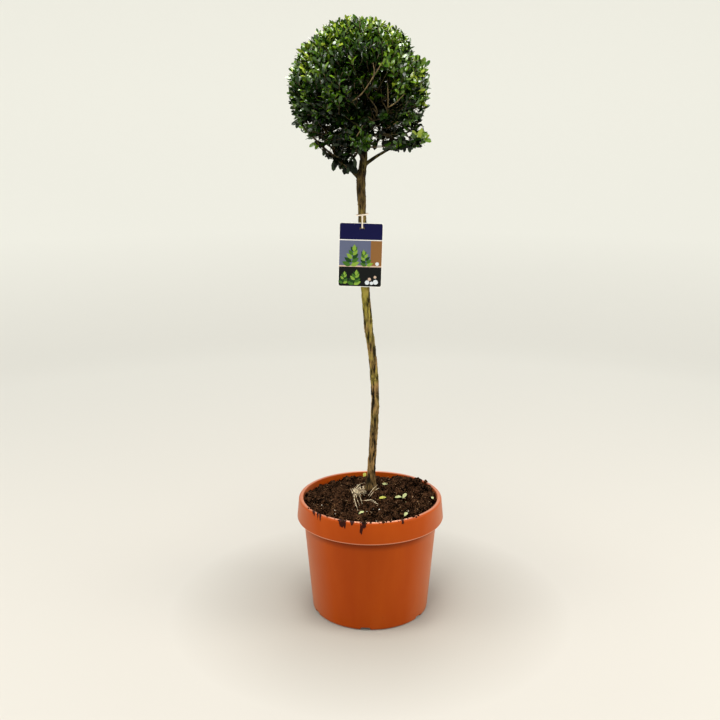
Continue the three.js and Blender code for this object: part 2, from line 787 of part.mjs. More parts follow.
// A loop round the stem with a tongue that hooks through the card's slot from the front.
function makeStrap() {
  const { strapBand, strapThickness, thickness, top, slotDrop, hookPlay, hookLift } = LABEL;
  const ring = new THREE.Shape().absarc(0, 0, strapOuter, 0, Math.PI * 2);
  ring.holes.push(new THREE.Path().absarc(0, 0, strapInner, 0, Math.PI * 2, true));
  const loop = new THREE.ExtrudeGeometry(ring, {
    depth: strapBand,
    bevelEnabled: false,
    curveSegments: 14,
  });
  loop.translate(strapCentre.x, strapCentre.y, LABEL.strapHeight - strapBand / 2);

  const backOfTongue = cardBack - thickness - hookPlay;
  const faceOfTongue = backOfTongue - strapThickness;
  const hookTop = top - slotDrop + strapThickness / 3;
  const hookFoot = hookTop - strapThickness;
  const behind = cardBack + hookPlay;
  const bandTop = LABEL.strapHeight + strapBand / 2;
  const bandFoot = LABEL.strapHeight - strapBand / 2;
  const ringFace = strapCentre.y - strapOuter + strapThickness / 2; // half-way into the loop
  const tongue = new THREE.Shape();
  tongue.moveTo(ringFace, bandTop);
  tongue.lineTo(faceOfTongue, bandFoot);
  tongue.lineTo(faceOfTongue, hookFoot);
  tongue.lineTo(behind + strapThickness, hookFoot);
  tongue.lineTo(behind + strapThickness, hookTop + hookLift);
  tongue.lineTo(behind, hookTop + hookLift);
  tongue.lineTo(behind, hookTop);
  tongue.lineTo(backOfTongue, hookTop);
  tongue.lineTo(backOfTongue, bandFoot - 2);
  tongue.lineTo(ringFace, bandFoot + 1);
  const hook = new THREE.ExtrudeGeometry(tongue, { depth: strapBand, bevelEnabled: false });
  // The drawing's x is the part's y, and its y is the part's z.
  const turn = new THREE.Matrix4().makeBasis(
    new THREE.Vector3(0, 1, 0),
    new THREE.Vector3(0, 0, 1),
    new THREE.Vector3(1, 0, 0),
  );
  hook.applyMatrix4(turn);
  hook.translate(strapCentre.x - strapBand / 2, 0, 0);
  return geometryOf(biggest(solid(loop).add(solid(hook))));
}

// Assembly

const topiary = new THREE.Group();
topiary.add(mesh("pot", makePot(), COLOURS.pot));
topiary.add(mesh("soil", makeSoil(), COLOURS.soil));
topiary.add(mesh("trunk", makeStem(), COLOURS.bark));
for (const [name, bough] of Object.entries(BOUGHS)) {
  topiary.add(mesh(`bough_${name}`, makeBough(bough), COLOURS.bough));
}
topiary.add(mesh("foliage_ball", makeBall(), COLOURS.foliage));
for (const name of Object.keys(SPRAYS)) {
  topiary.add(mesh(`foliage_${name}`, makeSpray(name), COLOURS.spray));
}
topiary.add(mesh("label_strap", makeStrap(), COLOURS.strap));
topiary.add(mesh("label_card", makeCard(), COLOURS.card));

export default topiary;
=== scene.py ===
from math import cos, dist, exp, hypot, pi, radians, sin, sqrt
from types import SimpleNamespace as Sizes

import bmesh
import bpy
import numpy as np
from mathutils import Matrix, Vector, noise
from numpy.linalg import norm


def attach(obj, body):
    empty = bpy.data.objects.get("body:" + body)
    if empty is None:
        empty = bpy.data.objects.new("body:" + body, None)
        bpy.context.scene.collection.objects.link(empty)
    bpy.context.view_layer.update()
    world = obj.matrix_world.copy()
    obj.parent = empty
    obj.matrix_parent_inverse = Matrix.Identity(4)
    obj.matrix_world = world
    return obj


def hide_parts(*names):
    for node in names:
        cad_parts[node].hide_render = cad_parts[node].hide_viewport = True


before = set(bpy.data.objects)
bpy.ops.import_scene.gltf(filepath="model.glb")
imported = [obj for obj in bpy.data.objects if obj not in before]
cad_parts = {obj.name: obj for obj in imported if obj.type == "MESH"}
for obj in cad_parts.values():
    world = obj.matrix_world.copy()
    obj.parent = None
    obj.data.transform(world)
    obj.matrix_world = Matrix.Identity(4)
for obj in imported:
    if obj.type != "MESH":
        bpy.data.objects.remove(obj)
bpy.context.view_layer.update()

MM = 0.001
GOLDEN = pi * (3 - sqrt(5))
UP = np.array([0.0, 0.0, 1.0])
rng = np.random.default_rng(7)

# Driving sizes, the same as the solids'

POT = Sizes(
    height=216, foot_radius=109, foot_round=5, shoulder_radius=125, collar_top=134, collar_low=137,
    collar_height=40, collar_round=3.2, lip_width=8, lip_round=4, lip_inner_round=1.5, lip_thickness=3.6,
    roll_end=-75, wall=2.6, floor=3.5, sides=240, crease=35,
)
SKIRT = POT.height - POT.collar_height
DRAINS = Sizes(count=6, width=18, height=6, inward=14, first=-95, rounding=2.5, round_angles=(0.3, 0.8, 1.3))
ARC_STEPS = 7
SOIL = Sizes(
    edge=209, pad=24, lumps=2.2, gap=0.6, swells=[(70, 62, 3.5, 37), (-70, 80, -6, 51), (36, 116, -5, 24)],
    clods=[(9, 5.0), (4.5, 2.2)], crumbs=2.4, crumb_size=14, crumbs_from=(5, 20), rings=96, sides=260,
    skirt=180, hollow_tint=(3, 1, 0), lump_tint=(56, 33, 19), speck_tint=(140, 104, 74),
)
# Each row is x, y, z and radius on the stem's centreline, from the soil to the tip in the crown.
STEM_ROWS = np.array([
    (1, 20, 219, 8.6), (2.6, 19, 262, 7.6), (6, 17, 320, 7.4), (9.2, 15, 395, 7.3), (5.6, 12, 465, 7.4),
    (-3.8, 9, 540, 7.7), (-9.5, 6, 611, 7.6), (-13, 4, 680, 7.3), (-15.6, 2, 757, 7.2), (-17.4, 1, 800, 8.0),
    (-13.6, 0, 836, 6.9), (-11.4, 0, 852, 5.6), (-9, 0, 865, 4.7),
])
STEM_FOOT = STEM_ROWS[0, :3]
STEM_MESH = (72, 620)
FLARE = Sizes(share=0.55, height=11, roots=[(3, 0.4, 0.6), (5, 0.22, 2)])
# Height, angle in degrees, bulge and length of the healed pruning scars.
KNOBS = [
    (302, 200, 1.3, 7), (441, 150, 2.0, 8), (553, 215, 1.6, 9), (590, 170, 2.2, 11), (700, 20, 1.3, 8),
    (770, 185, 2.2, 8), (806, 30, 1.8, 10),
]
CROWN = Sizes(centre=(-22, 0, 962.5), radius=126.5, split=868, left=-151)
centre = np.array(CROWN.centre)
# Where each bough leaves the stem, its points on the way to its tip, and its radii.
BOUGHS = {
    "right": (830, [(10, -2, 847), (27, -4, 857)], [3.6, 2.9, 2.3]),
    "left": (808, [(-33, -3, 822), (-47, -6, 833)], [5.2, 4.2, 3.2]),
    "front": (832, [(-14, -15, 843), (-20, -29, 852)], [3.4, 2.8, 2.2]),
    "back": (824, [(-16, 16, 838), (-18, 31, 849)], [3.8, 3, 2.3]),
}
# The wedge that each loose spray below the ball fills.
SPRAYS = {
    "right": Sizes(azimuth=-2, spread=46, low=844, high=892, reach=114, aim=(68, -2, 862)),
    "left": Sizes(azimuth=181, spread=44, low=812, high=872, reach=92, aim=(-78, -4, 850)),
    "front": Sizes(azimuth=270, spread=43, low=832, high=872, reach=82, aim=(-26, -62, 857)),
    "back": Sizes(azimuth=90, spread=43, low=832, high=872, reach=82, aim=(-20, 62, 856)),
}
SPRAY_APEX = (-10, 0, 0)

# Vector helpers


def vec(*point):
    """An array from coordinates or from one point."""
    return np.array(point if len(point) > 1 else point[0], float)


def unit(v):
    return v / max(norm(v), 1e-9)


def mix(a, b, share):
    return a + (b - a) * share


def smooth(x, low, high):
    share = min(max((x - low) / (high - low), 0.0), 1.0)
    return share * share * (3 - 2 * share)


def compass(turn, rise=0.0):
    """A level direction at an angle, or one with a rise."""
    return vec(cos(turn), sin(turn), rise)


def side_of(direction, turn):
    """A direction square to another, turned about it."""
    reference = UP if abs(direction[2]) < 0.9 else vec(1, 0, 0)
    across = unit(np.cross(direction, reference))
    return across * cos(turn) + np.cross(direction, across) * sin(turn)


def rough(point, scale, octaves=3, seed=0.0):
    """Smooth noise between about -1 and 1 at a point in millimetres, with lumps of that size."""
    place = Vector((point[0] / scale + seed, point[1] / scale, point[2] / scale))
    return noise.fractal(place, 0.9, 2.1, octaves)


# Curves


class Path:
    """A smooth way through points, read by the share of its length."""

    def __init__(self, points, samples=24):
        points = [vec(p) for p in points]
        if len(points) == 2:
            points.insert(1, (points[0] + points[1]) / 2)
        ends = [2 * points[0] - points[1], *points, 2 * points[-1] - points[-2]]
        made = []
        for i in range(len(ends) - 3):
            four = ends[i : i + 4]
            knots = np.cumsum([0.0, *[max(norm(b - a), 1e-6) ** 0.5 for a, b in zip(four, four[1:])]])
            made += [self.blend(mix(knots[1], knots[2], k / samples), knots, four) for k in range(samples)]
        self.points = np.array([*made, points[-1]])
        steps = norm(np.diff(self.points, axis=0), axis=1)
        self.lengths = np.concatenate([[0.0], np.cumsum(steps)])
        self.length = self.lengths[-1]

    @staticmethod
    def blend(t, k, p):
        """A point between the middle two of four, which have their places k along the way."""
        def between(a, b, i, j):
            return a * (k[j] - t) / (k[j] - k[i]) + b * (t - k[i]) / (k[j] - k[i])

        for span in (1, 2):
            p = [between(p[i], p[i + 1], i, i + span) for i in range(len(p) - 1)]
        return between(*p, 1, 2)

    def at(self, share):
        place = np.clip(share, 0, 1) * self.length
        return np.array([np.interp(place, self.lengths, self.points[:, axis]) for axis in range(3)])

    def heading(self, share, step=0.01):
        return unit(self.at(min(share + step, 1)) - self.at(max(share - step, 0)))

    def at_height(self, z):
        return self.at(np.interp(z, self.points[:, 2], self.lengths) / self.length)


def curve(start, bend, end, shares):
    """A path from a start to an end that is pulled towards a bend."""
    return Path([mix(mix(start, bend, t), mix(bend, end, t), t) for t in shares], 4)


def arc(start, lead, end):
    """A path that leaves a point along a lead and bends to an end."""
    start, end = vec(start), vec(end)
    return curve(start, start + unit(lead) * norm(end - start) * 0.4, end, (0, 0.25, 0.5, 0.75, 1))


def bend_to(root, end, heading):
    """A path from a root that reaches its end along a heading."""
    return curve(root, end - unit(heading) * 0.5 * norm(end - root), end, (0, 0.3, 0.65, 1))


# Meshes


def placed(name, data):
    """An object of the scene that holds a mesh, a lamp or a camera."""
    made = bpy.data.objects.new(name, data)
    bpy.context.scene.collection.objects.link(made)
    return made


def piece(name, vertices, faces, paints, flat=False, slots=None, sharp=None):
    """An object from points in millimetres. faces may hold triangles and quads."""
    mesh = bpy.data.meshes.new(name)
    mesh.from_pydata((np.asarray(vertices) * MM).tolist(), [], faces)
    for paint in paints:
        mesh.materials.append(paint.material)
    if slots is not None:
        mesh.polygons.foreach_set("material_index", np.asarray(slots, np.int32))
    mesh.polygons.foreach_set("use_smooth", [not flat] * len(mesh.polygons))
    if sharp is not None:
        ends = np.empty(len(mesh.edges) * 2, np.int32)
        mesh.edges.foreach_get("vertices", ends)
        attribute = mesh.attributes.new("sharp_edge", "BOOLEAN", "EDGE")
        attribute.data.foreach_set("value", sharp[ends].reshape(-1, 2).all(axis=1))
    mesh.update()
    return placed(name, mesh)


def settle(made, slot, *nodes):
    """The piece rides with the plant and stands for these solids, which are hidden. slot is not used."""
    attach(made, "root")
    if nodes:
        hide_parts(*nodes)


class Batch:
    """Many small closed meshes joined into one."""

    def __init__(self):
        self.vertices, self.faces, self.slots, self.count = [], [], [], 0

    def add(self, vertices, faces, slot=0):
        self.vertices.append(vertices)
        self.faces.extend([tuple(i + self.count for i in face) for face in faces])
        self.slots += [slot] * len(faces)
        self.count += len(vertices)

    def build(self, name, *paints, **more):
        slots = self.slots if len(paints) > 1 else None
        return piece(name, np.concatenate(self.vertices), self.faces, paints, slots=slots, **more)


def turns_of(sides):
    return [2 * pi * k / sides for k in range(sides)]


def ring_points(rings, sides):
    """Points on level rings of (radius, height) round the axis."""
    return [(r * cos(t), r * sin(t), z) for r, z in rings for t in turns_of(sides)]


def grid(rings, sides, first=0, inward=False, closed=False):
    """Quads between rings of so many points, turned round if inward, and joined in a loop if closed."""
    faces, total = [], rings * sides
    for ring in range(rings - 1 + closed):
        for k in range(sides):
            a, b = ring * sides + k, ring * sides + (k + 1) % sides
            c, d = (b + sides) % total, (a + sides) % total
            faces.append(tuple(first + i for i in ((a, d, c, b) if inward else (a, b, c, d))))
    return faces


def capped(rings, sides):
    """Faces of a closed body of rings."""
    last = (rings - 1) * sides
    return grid(rings, sides) + [tuple(reversed(range(sides))), tuple(range(last, last + sides))]


def tube(path, radius_at, sides, steps):
    """A closed tube along a path. radius_at takes a share of the way and an angle."""
    across = side_of(path.heading(0.0), 0.0)
    vertices = []
    for share in np.arange(steps + 1) / steps:
        heading = path.heading(share)
        across = unit(across - heading * np.dot(across, heading))
        other, middle = np.cross(heading, across), path.at(share)
        vertices += [
            middle + (across * cos(t) + other * sin(t)) * radius_at(share, t) for t in turns_of(sides)
        ]
    return vertices, capped(steps + 1, sides)


def add_strand(batch, path, thick, thin, sides=4, steps=4):
    """A thin stalk that tapers along a path."""
    batch.add(*tube(path, lambda share, angle: mix(thick, thin, share), sides, steps))


def lathe(section, sides):
    """A closed turned body from a section of (radius, height) that starts and ends on the axis."""
    vertices = ring_points(section[1:-1], sides)
    low, high, top = len(vertices), len(vertices) + 1, len(vertices) - sides
    faces = grid(len(section) - 2, sides)
    for k in range(sides):
        after = (k + 1) % sides
        faces += [(low, after, k), (top + k, top + after, high)]
    return vertices + [(0, 0, section[0][1]), (0, 0, section[-1][1])], faces


def cut(target, cutter):
    """Takes one mesh out of another and leaves the result on the first."""
    boolean = target.modifiers.new("cut", "BOOLEAN")
    boolean.operation, boolean.solver, boolean.object = "DIFFERENCE", "EXACT", cutter
    graph = bpy.context.evaluated_depsgraph_get()
    made = bpy.data.meshes.new_from_object(target.evaluated_get(graph))
    target.modifiers.clear()
    target.data = made
    bpy.data.objects.remove(cutter)


# Materials

MIX_FACTOR, MIX_FIRST, MIX_SECOND, MIX_RESULT = 0, 6, 7, 2


def linear(tint):
    """The linear colour of 0 to 255 values, with a shade as the fourth. A node's output stays as it is."""
    if not isinstance(tint, tuple):
        return tint
    shade = tint[3] if len(tint) > 3 else 1.0
    shares = [value / 255 for value in tint[:3]]
    return (*[(v / 12.92 if v <= 0.04045 else ((v + 0.055) / 1.055) ** 2.4) * shade for v in shares], 1.0)


class Paint:
    """A Principled material and the few node shapes that the finishes are made of."""

    def __init__(self, name, roughness, specular):
        self.material = bpy.data.materials.new(name)
        self.material.use_nodes = True
        self.tree = self.material.node_tree
        self.give("Roughness", roughness)
        self.give("Specular IOR Level", specular)
        self.place = self.node("TexCoord", "Object")

    def feed(self, socket, value):
        """A socket gets a number, a vector, a colour or what another node makes."""
        if isinstance(value, (int, float, tuple)):
            socket.default_value = value
        else:
            self.tree.links.new(value, socket)

    def give(self, name, value):
        self.feed(self.tree.nodes["Principled BSDF"].inputs[name], value)

    def node(self, kind, result, inputs={}, **values):
        """One output of a new node."""
        made = self.tree.nodes.new("ShaderNode" + kind)
        for key, value in values.items():
            setattr(made, key, value)
        for key, value in inputs.items():
            self.feed(made.inputs[key], value)
        return made.outputs[result]

    def stretched(self, *scale):
        return self.node("Mapping", "Vector", {"Vector": self.place, "Scale": scale})

    def noise(self, scale, detail=4.0, roughness=0.55, place=None):
        values = {"Vector": place or self.place, "Scale": scale, "Detail": detail, "Roughness": roughness}
        return self.node("TexNoise", "Fac", values)

    def range(self, source, low, high, to_low=0.0, to_high=1.0):
        values = {"Value": source, "From Min": low, "From Max": high, "To Min": to_low, "To Max": to_high}
        return self.node("MapRange", "Result", values)

    def maths(self, operation, a, b=0):
        return self.node("Math", "Value", {0: a, 1: b}, operation=operation)

    def times(self, a, b):
        return self.maths("MULTIPLY", a, b)

    def plus(self, a, b):
        return self.maths("ADD", a, b)

    def axis(self, letter):
        return self.node("SeparateXYZ", letter, {"Vector": self.place})

    def rise(self, low, high, *to):
        """How far a place is up between two heights in millimetres."""
        return self.range(self.axis("Z"), low * MM, high * MM, *to)

    def mixed(self, share, a, b):
        values = {MIX_FACTOR: share, MIX_FIRST: linear(a), MIX_SECOND: linear(b)}
        return self.node("Mix", MIX_RESULT, values, data_type="RGBA")

    def base(self, value):
        self.give("Base Color", linear(value))

    def rough(self, source, low, high):
        self.give("Roughness", self.range(source, 0.25, 0.75, low, high))

    def bump(self, source, depth_mm, strength=1.0):
        values = {"Distance": depth_mm * MM, "Strength": strength, "Height": source}
        self.give("Normal", self.node("Bump", "Normal", values))


def plain(name, roughness, shine, tint):
    paint = Paint(name, roughness, shine)
    paint.base(tint)
    return paint


# Roughness, shine, size of the grain, where its tones meet, and its dark and its pale tint.
TWO_TONES = {
    "straw": (0.6, 0.4, 170, (0.4, 0.58), (96, 66, 34), (250, 232, 194)),
    "peat_fibre": (0.85, 0.1, 45, (0.35, 0.7), (58, 32, 16), (166, 124, 80)),
    "bare_twig": (0.7, 0.3, 140, (0.35, 0.65), (48, 38, 18), (112, 94, 54)),
    "twig_bark": (0.7, 0.35, 180, (0.35, 0.65), (44, 36, 14), (84, 70, 34)),
    "fallen_yellow": (0.5, 0.35, 300, (0.35, 0.6), (176, 174, 66, 0.6), (176, 174, 66)),
    "fallen_pale": (0.5, 0.35, 300, (0.35, 0.6), (184, 190, 130, 0.6), (184, 190, 130)),
}


def two_tone(name):
    roughness, shine, grain, edges, dark, pale = TWO_TONES[name]
    paint = Paint(name, roughness, shine)
    paint.base(paint.mixed(paint.range(paint.noise(grain, 3), *edges), dark, pale))
    return paint


# Camera, floor and lights

CAMERA = Sizes(at=(-19.2, -1698, 884), pitch=9.86, lens=47.43, sensor=36, rise=-60 / 720)
STAGE = Sizes(radius=2300, bend=1100, height=3000, sides=96, inner=(0.4, 0.7, 1.0), bend_steps=12)
# Where the floor's glow fades out near the pot, leaving a painted shade round it, and where the far floor
# turns to the wall's tone, in metres, the height at which the tone is the wall's, and the floor's and the
# wall's tints.
GLOW = Sizes(
    unlit=(0.06, 0.38), far=(0.5, 2.0), turned=400, base=((160, 154, 144), (150, 150, 144)),
    light=((150, 151, 149), (200, 199, 191)),
)
# Name, place, target, size in millimetres, power in watts and warmth.
LIGHTS = [
    ("top", (-100, -420, 2650), (0, 0, 800), 1100, 48, (1.0, 1.0, 0.98)),
    ("left", (-1900, -500, 1350), (0, 0, 650), 1200, 18, (1.0, 0.99, 0.96)),
    ("right", (1900, -450, 1300), (0, 0, 600), 1200, 26, (1.0, 0.98, 0.95)),
    ("front", (-500, -1900, 2100), (0, 0, 700), 700, 14, (1.0, 0.99, 0.97)),
    ("back", (300, 1900, 1900), (0, 0, 700), 1200, 12, (1.0, 1.0, 1.0)),
]
WORLD = Sizes(tint=(1.0, 0.99, 0.97, 1.0), strength=0.17)


def make_camera():
    camera = placed("camera", bpy.data.cameras.new("camera"))
    camera.location = vec(CAMERA.at) * MM
    camera.rotation_euler = (radians(90 - CAMERA.pitch), 0, 0)
    camera.data.lens = CAMERA.lens
    camera.data.sensor_width = CAMERA.sensor
    camera.data.shift_y = CAMERA.rise
    bpy.context.scene.camera = camera


def make_stage():
    """A pale floor that bends up into a wall all round."""
    rings = [(STAGE.radius * share, 0.0) for share in STAGE.inner]
    for step in range(1, STAGE.bend_steps + 1):
        angle = radians(90 * step / STAGE.bend_steps)
        rings.append((STAGE.radius + STAGE.bend * sin(angle), STAGE.bend * (1 - cos(angle))))
    rings.append((STAGE.radius + STAGE.bend, STAGE.height))
    faces = [tuple(range(STAGE.sides)), *grid(len(rings), STAGE.sides, inward=True)]
    paint = Paint("stage_paint", 0.95, 0.1)
    away = paint.node("VectorMath", "Value", {0: paint.place}, operation="LENGTH")
    far = paint.range(away, *GLOW.far, 0.0, 0.5)
    wall = paint.plus(far, paint.rise(0, GLOW.turned, 0.0, 0.5))
    paint.base(paint.mixed(wall, *GLOW.base))
    paint.give("Emission Color", paint.mixed(wall, *GLOW.light))
    # The glow is off near the pot and full further out: a painted shade on the floor round the pot.
    paint.give("Emission Strength", paint.range(away, *GLOW.unlit))
    floor = piece("floor", ring_points(rings, STAGE.sides), faces, [paint])


def make_lights():
    for name, place, target, size, power, warmth in LIGHTS:
        lamp = bpy.data.lights.new(name, "AREA")
        lamp.shape, lamp.size, lamp.energy, lamp.color = "DISK", size * MM, power, warmth
        made = placed(name, lamp)
        made.location = vec(place) * MM
        aim = Vector(vec(target) * MM) - made.location
        made.rotation_euler = aim.to_track_quat("-Z", "Y").to_euler()
    world = bpy.data.worlds.new("studio")
    world.use_nodes = True
    background = world.node_tree.nodes["Background"]
    background.inputs["Color"].default_value = WORLD.tint
    background.inputs["Strength"].default_value = WORLD.strength
    bpy.context.scene.world = world
    bpy.context.scene.view_settings.view_transform = "Standard"


make_camera()
make_stage()
make_lights()

# Pot


def corner(middle, size, first, last):
    """Points round a corner, from one angle in degrees to another."""
    angles = np.radians(np.linspace(first, last, ARC_STEPS + 1))
    return [(middle[0] + size * cos(a), middle[1] + size * sin(a)) for a in angles]


def inner_wall(z):
    return outer_wall(z) - POT.wall


def outer_wall(z):
    return mix(POT.foot_radius, POT.shoulder_radius, (z - POT.foot_round) / (SKIRT - POT.foot_round))


def inside_radius(z):
    if z < SKIRT:
        return inner_wall(z)
    return mix(inner_wall(SKIRT), POT.collar_top - POT.lip_width, (z - SKIRT) / (POT.height - SKIRT))


def pot_section():
    """Radius and height from the foot's middle up the outside, over the lip and down to the floor's."""
    height, wall, floor, foot, foot_round = POT.height, POT.wall, POT.floor, POT.foot_radius, POT.foot_round
    top, low, roll = POT.collar_top, POT.collar_low, POT.collar_round
    lip, inner_lip = POT.lip_round, POT.lip_inner_round
    roof, inner_top = height - POT.lip_thickness, top - POT.lip_width
    rolled = (low - roll, SKIRT + roll)
    return [
        (0, 0),
        (foot * 0.5, 0),
        *corner((foot - foot_round, foot_round), foot_round, -90, 0),
        *[(outer_wall(z), z) for z in np.linspace(foot_round + 6, SKIRT, 9)],
        (inner_top + wall, roof),
        (top - wall, roof),
        (low - wall, rolled[1]),
        *corner(rolled, roll - wall, 0, POT.roll_end),
        *corner(rolled, roll, POT.roll_end, 0),
        *corner((top - lip, height - lip), lip, 0, 90),
        *corner((inner_top + inner_lip, height - inner_lip), inner_lip, 90, 180),
        (inner_wall(SKIRT), SKIRT),
        *[(inner_wall(z), z) for z in np.linspace(SKIRT - 8, floor + 6, 6)],
        (inner_wall(floor), floor),
        (0, floor),
    ]


def drain_cutter():
    """Rounded blocks that cut the gaps for water under the pot's edge."""
    half, rise, soft = DRAINS.width / 2, DRAINS.height, DRAINS.rounding
    outline = [(-half, -rise), (half, -rise), (half, rise * 0.5)]
    outline += [(half - soft + soft * cos(a), rise - soft + soft * sin(a)) for a in DRAINS.round_angles]
    outline += [(-x, z) for x, z in reversed(outline[2:])]
    batch = Batch()
    for i in range(DRAINS.count):
        turn = radians(DRAINS.first + 360 * i / DRAINS.count)
        along = vec(-sin(turn), cos(turn), 0)
        ends = (POT.foot_radius - DRAINS.inward, POT.foot_radius + DRAINS.inward)
        vertices = [compass(turn) * r + along * x + UP * z for r in ends for x, z in outline]
        batch.add(vertices, capped(2, len(outline)))
    return batch.build("drain_cutter")


# Soil that was spilt over the lip and ran down the collar: x, half width, length and drift to the left.
STAINS = [
    (-102, 3.5, 9, 0), (-95, 3, 14, 0), (-90, 3, 17, 0), (-50, 11, 19, 0), (-33, 6, 10, 0), (-12, 8, 31, 0.3),
    (56, 3.5, 11, 0),
]
# shaded is a painted shadow under the collar, lip and lip_side are painted highlights on the lip (lip also on
# the collar's lower edge), and edge is a painted sheen; deep, wall, dust and soil are the plastic's own
# tones, its dust and spilt soil.
POT_TINTS = Sizes(
    deep=(152, 57, 4), wall=(167, 70, 7), shaded=(96, 30, 4), lip=(240, 172, 140), lip_side=(172, 102, 76),
    edge=(198, 144, 104), dust=(170, 92, 48), soil=(44, 9, 2),
)


def hanging_soil(paint):
    """How much of the collar the spilt soil hides: ragged wedges that hang from the lip."""
    streaks = paint.noise(1, 4, 0.6, paint.stretched(260, 260, 60))
    across = paint.axis("X")
    below = paint.maths("SUBTRACT", POT.height * MM, paint.axis("Z"))
    hidden = 0.0
    for x, half, length, drift in STAINS:
        middle = paint.maths("SUBTRACT", x * MM, paint.times(below, drift))
        away = paint.maths("ABSOLUTE", paint.maths("SUBTRACT", across, middle))
        inward = paint.range(away, 0.0, half * MM, 1.0, 0.0)
        rise = paint.rise(POT.height - length, POT.height)
        hidden = paint.maths("MAXIMUM", hidden, paint.times(inward, rise))
    hidden = paint.range(paint.plus(hidden, paint.times(streaks, 1.5)), 1.1, 1.16)
    return paint.times(hidden, paint.range(paint.axis("Y"), -0.05, -0.07))


def pot_paint():
    """Satin moulded plastic, streaked down its wall, with soil smudged over the front of its lip."""
    paint = Paint("pot_plastic", 0.38, 0.1)
    flow = paint.noise(9, 5, 0.6, paint.stretched(1, 1, 0.25))
    fine, broad = paint.noise(900, 2), paint.noise(14, 3)
    skin = paint.mixed(paint.range(flow, 0.3, 0.7), POT_TINTS.deep, POT_TINTS.wall)
    # Painted shadow on the wall below the collar, and a painted highlight along the collar's rounded lower
    # edge.
    under = paint.times(paint.rise(SKIRT - 18, SKIRT), paint.rise(SKIRT + 0.5, SKIRT))
    skin = paint.mixed(paint.times(under, 0.8), skin, POT_TINTS.shaded)
    edge = paint.times(paint.rise(SKIRT + 0.3, SKIRT + 0.8), paint.rise(SKIRT + 3.2, SKIRT + 2.2))
    skin = paint.mixed(paint.times(edge, 0.5), skin, POT_TINTS.lip)
    # A painted highlight on the lip's top, palest in front, where the light falls on it flattest.
    aside = paint.range(paint.maths("ABSOLUTE", paint.axis("X")), 0.02, 0.08)
    painted_lip_highlight = paint.times(paint.rise(POT.height - 0.7, POT.height - 0.1), 0.8)
    skin = paint.mixed(painted_lip_highlight, skin, paint.mixed(aside, POT_TINTS.lip, POT_TINTS.lip_side))
    # A painted sheen: paler where the surface turns away from the view.
    rim = paint.node("LayerWeight", "Facing")
    skin = paint.mixed(paint.range(rim, 0.35, 0.8, 0.0, 0.3), skin, POT_TINTS.edge)
    spilt = hanging_soil(paint)
    dusty = paint.range(paint.plus(broad, paint.rise(0, 50, 0.2, 0.0)), 0.66, 0.95, 0, 0.25)
    skin = paint.mixed(dusty, skin, POT_TINTS.dust)
    paint.base(paint.mixed(spilt, skin, POT_TINTS.soil))
    paint.rough(paint.plus(paint.times(broad, 0.8), paint.times(spilt, 0.4)), 0.34, 0.52)
    paint.bump(paint.plus(fine, paint.times(flow, 2)), 0.05, 0.5)
    return paint


def make_pot():
    made = piece("pot_shell", *lathe(pot_section(), POT.sides), [pot_paint()])
    cut(made, drain_cutter())
    mesh = made.data
    mesh.polygons.foreach_set("use_smooth", [True] * len(mesh.polygons))
    mesh.set_sharp_from_angle(angle=radians(POT.crease))
    settle(made, "pot", "pot")


make_pot()

# Soil


def waves(a, b, c):
    return sin(a * 0.19 + 1.3) * cos(b * 0.23 - 0.4) + 0.6 * sin(c * 0.37 + 2)


def clod(x, y, size):
    """Rounded lumps of a size with creases between them, from 0 down to about -1."""
    return -noise.voronoi(Vector((x / size, y / size, 0)))[0][0]


def soil_height(x, y):
    """The solid's surface with crumbs and hollows worked into it."""
    from_stem = hypot(x - STEM_FOOT[0], y - STEM_FOOT[1])
    out = min(hypot(x, y) / inner_wall(SOIL.edge), 1)
    mound = (STEM_FOOT[2] - SOIL.edge) * (1 - out**2)
    swell = sum(
        rise * exp(-((x - sx) ** 2 + (y - sy) ** 2) / spread**2) for sx, sy, rise, spread in SOIL.swells
    )
    free = SOIL.edge + mound + swell + SOIL.lumps * waves(x, y, x + y)
    level = mix(STEM_FOOT[2], free, smooth(from_stem, SOIL.pad, SOIL.pad * 1.9))
    crumbs = SOIL.crumbs + SOIL.crumbs * rough((x, y, 0), SOIL.crumb_size, 3)
    crumbs += sum(deep * clod(x, y, size) for size, deep in SOIL.clods)
    return level + crumbs * smooth(from_stem, *SOIL.crumbs_from)


def soil_paint():
    paint = Paint("peat", 0.95, 0.0)
    coarse, fine = paint.noise(150, 6, 0.65), paint.noise(600, 4, 0.7)
    dark = paint.mixed(paint.range(coarse, 0.49, 0.63), SOIL.hollow_tint, SOIL.lump_tint)
    paint.base(paint.mixed(paint.range(fine, 0.58, 0.7, 0, 0.6), dark, SOIL.speck_tint))
    paint.rough(fine, 0.75, 1.0)
    paint.bump(paint.plus(fine, coarse), 0.8)
    return paint


def make_soil():
    """A disc of soil with a skirt down the pot's wall, closed on the pot's floor."""
    rings, sides = SOIL.rings, SOIL.sides
    vertices = [(0, 0, soil_height(0, 0))]
    for ring in range(1, rings + 1):
        for turn in turns_of(sides):
            x, y = cos(turn), sin(turn)
            r = (inside_radius(SOIL.edge) - SOIL.gap) * ring / rings
            z = soil_height(x * r, y * r)
            if ring == rings:
                r = inside_radius(z) - SOIL.gap
            vertices.append((x * r, y * r, z))
    depths = (SOIL.skirt, POT.floor + SOIL.gap)
    vertices += ring_points([(inside_radius(depth) - SOIL.gap, depth) for depth in depths], sides)
    faces = [(0, 1 + k, 1 + (k + 1) % sides) for k in range(sides)]
    faces += grid(rings + len(depths), sides, 1, inward=True)
    faces.append(tuple(range(len(vertices) - 1, len(vertices) - 1 - sides, -1)))
    settle(piece("soil_surface", vertices, faces, [soil_paint()]), "soil", "soil")


make_soil()

# What lies on the soil

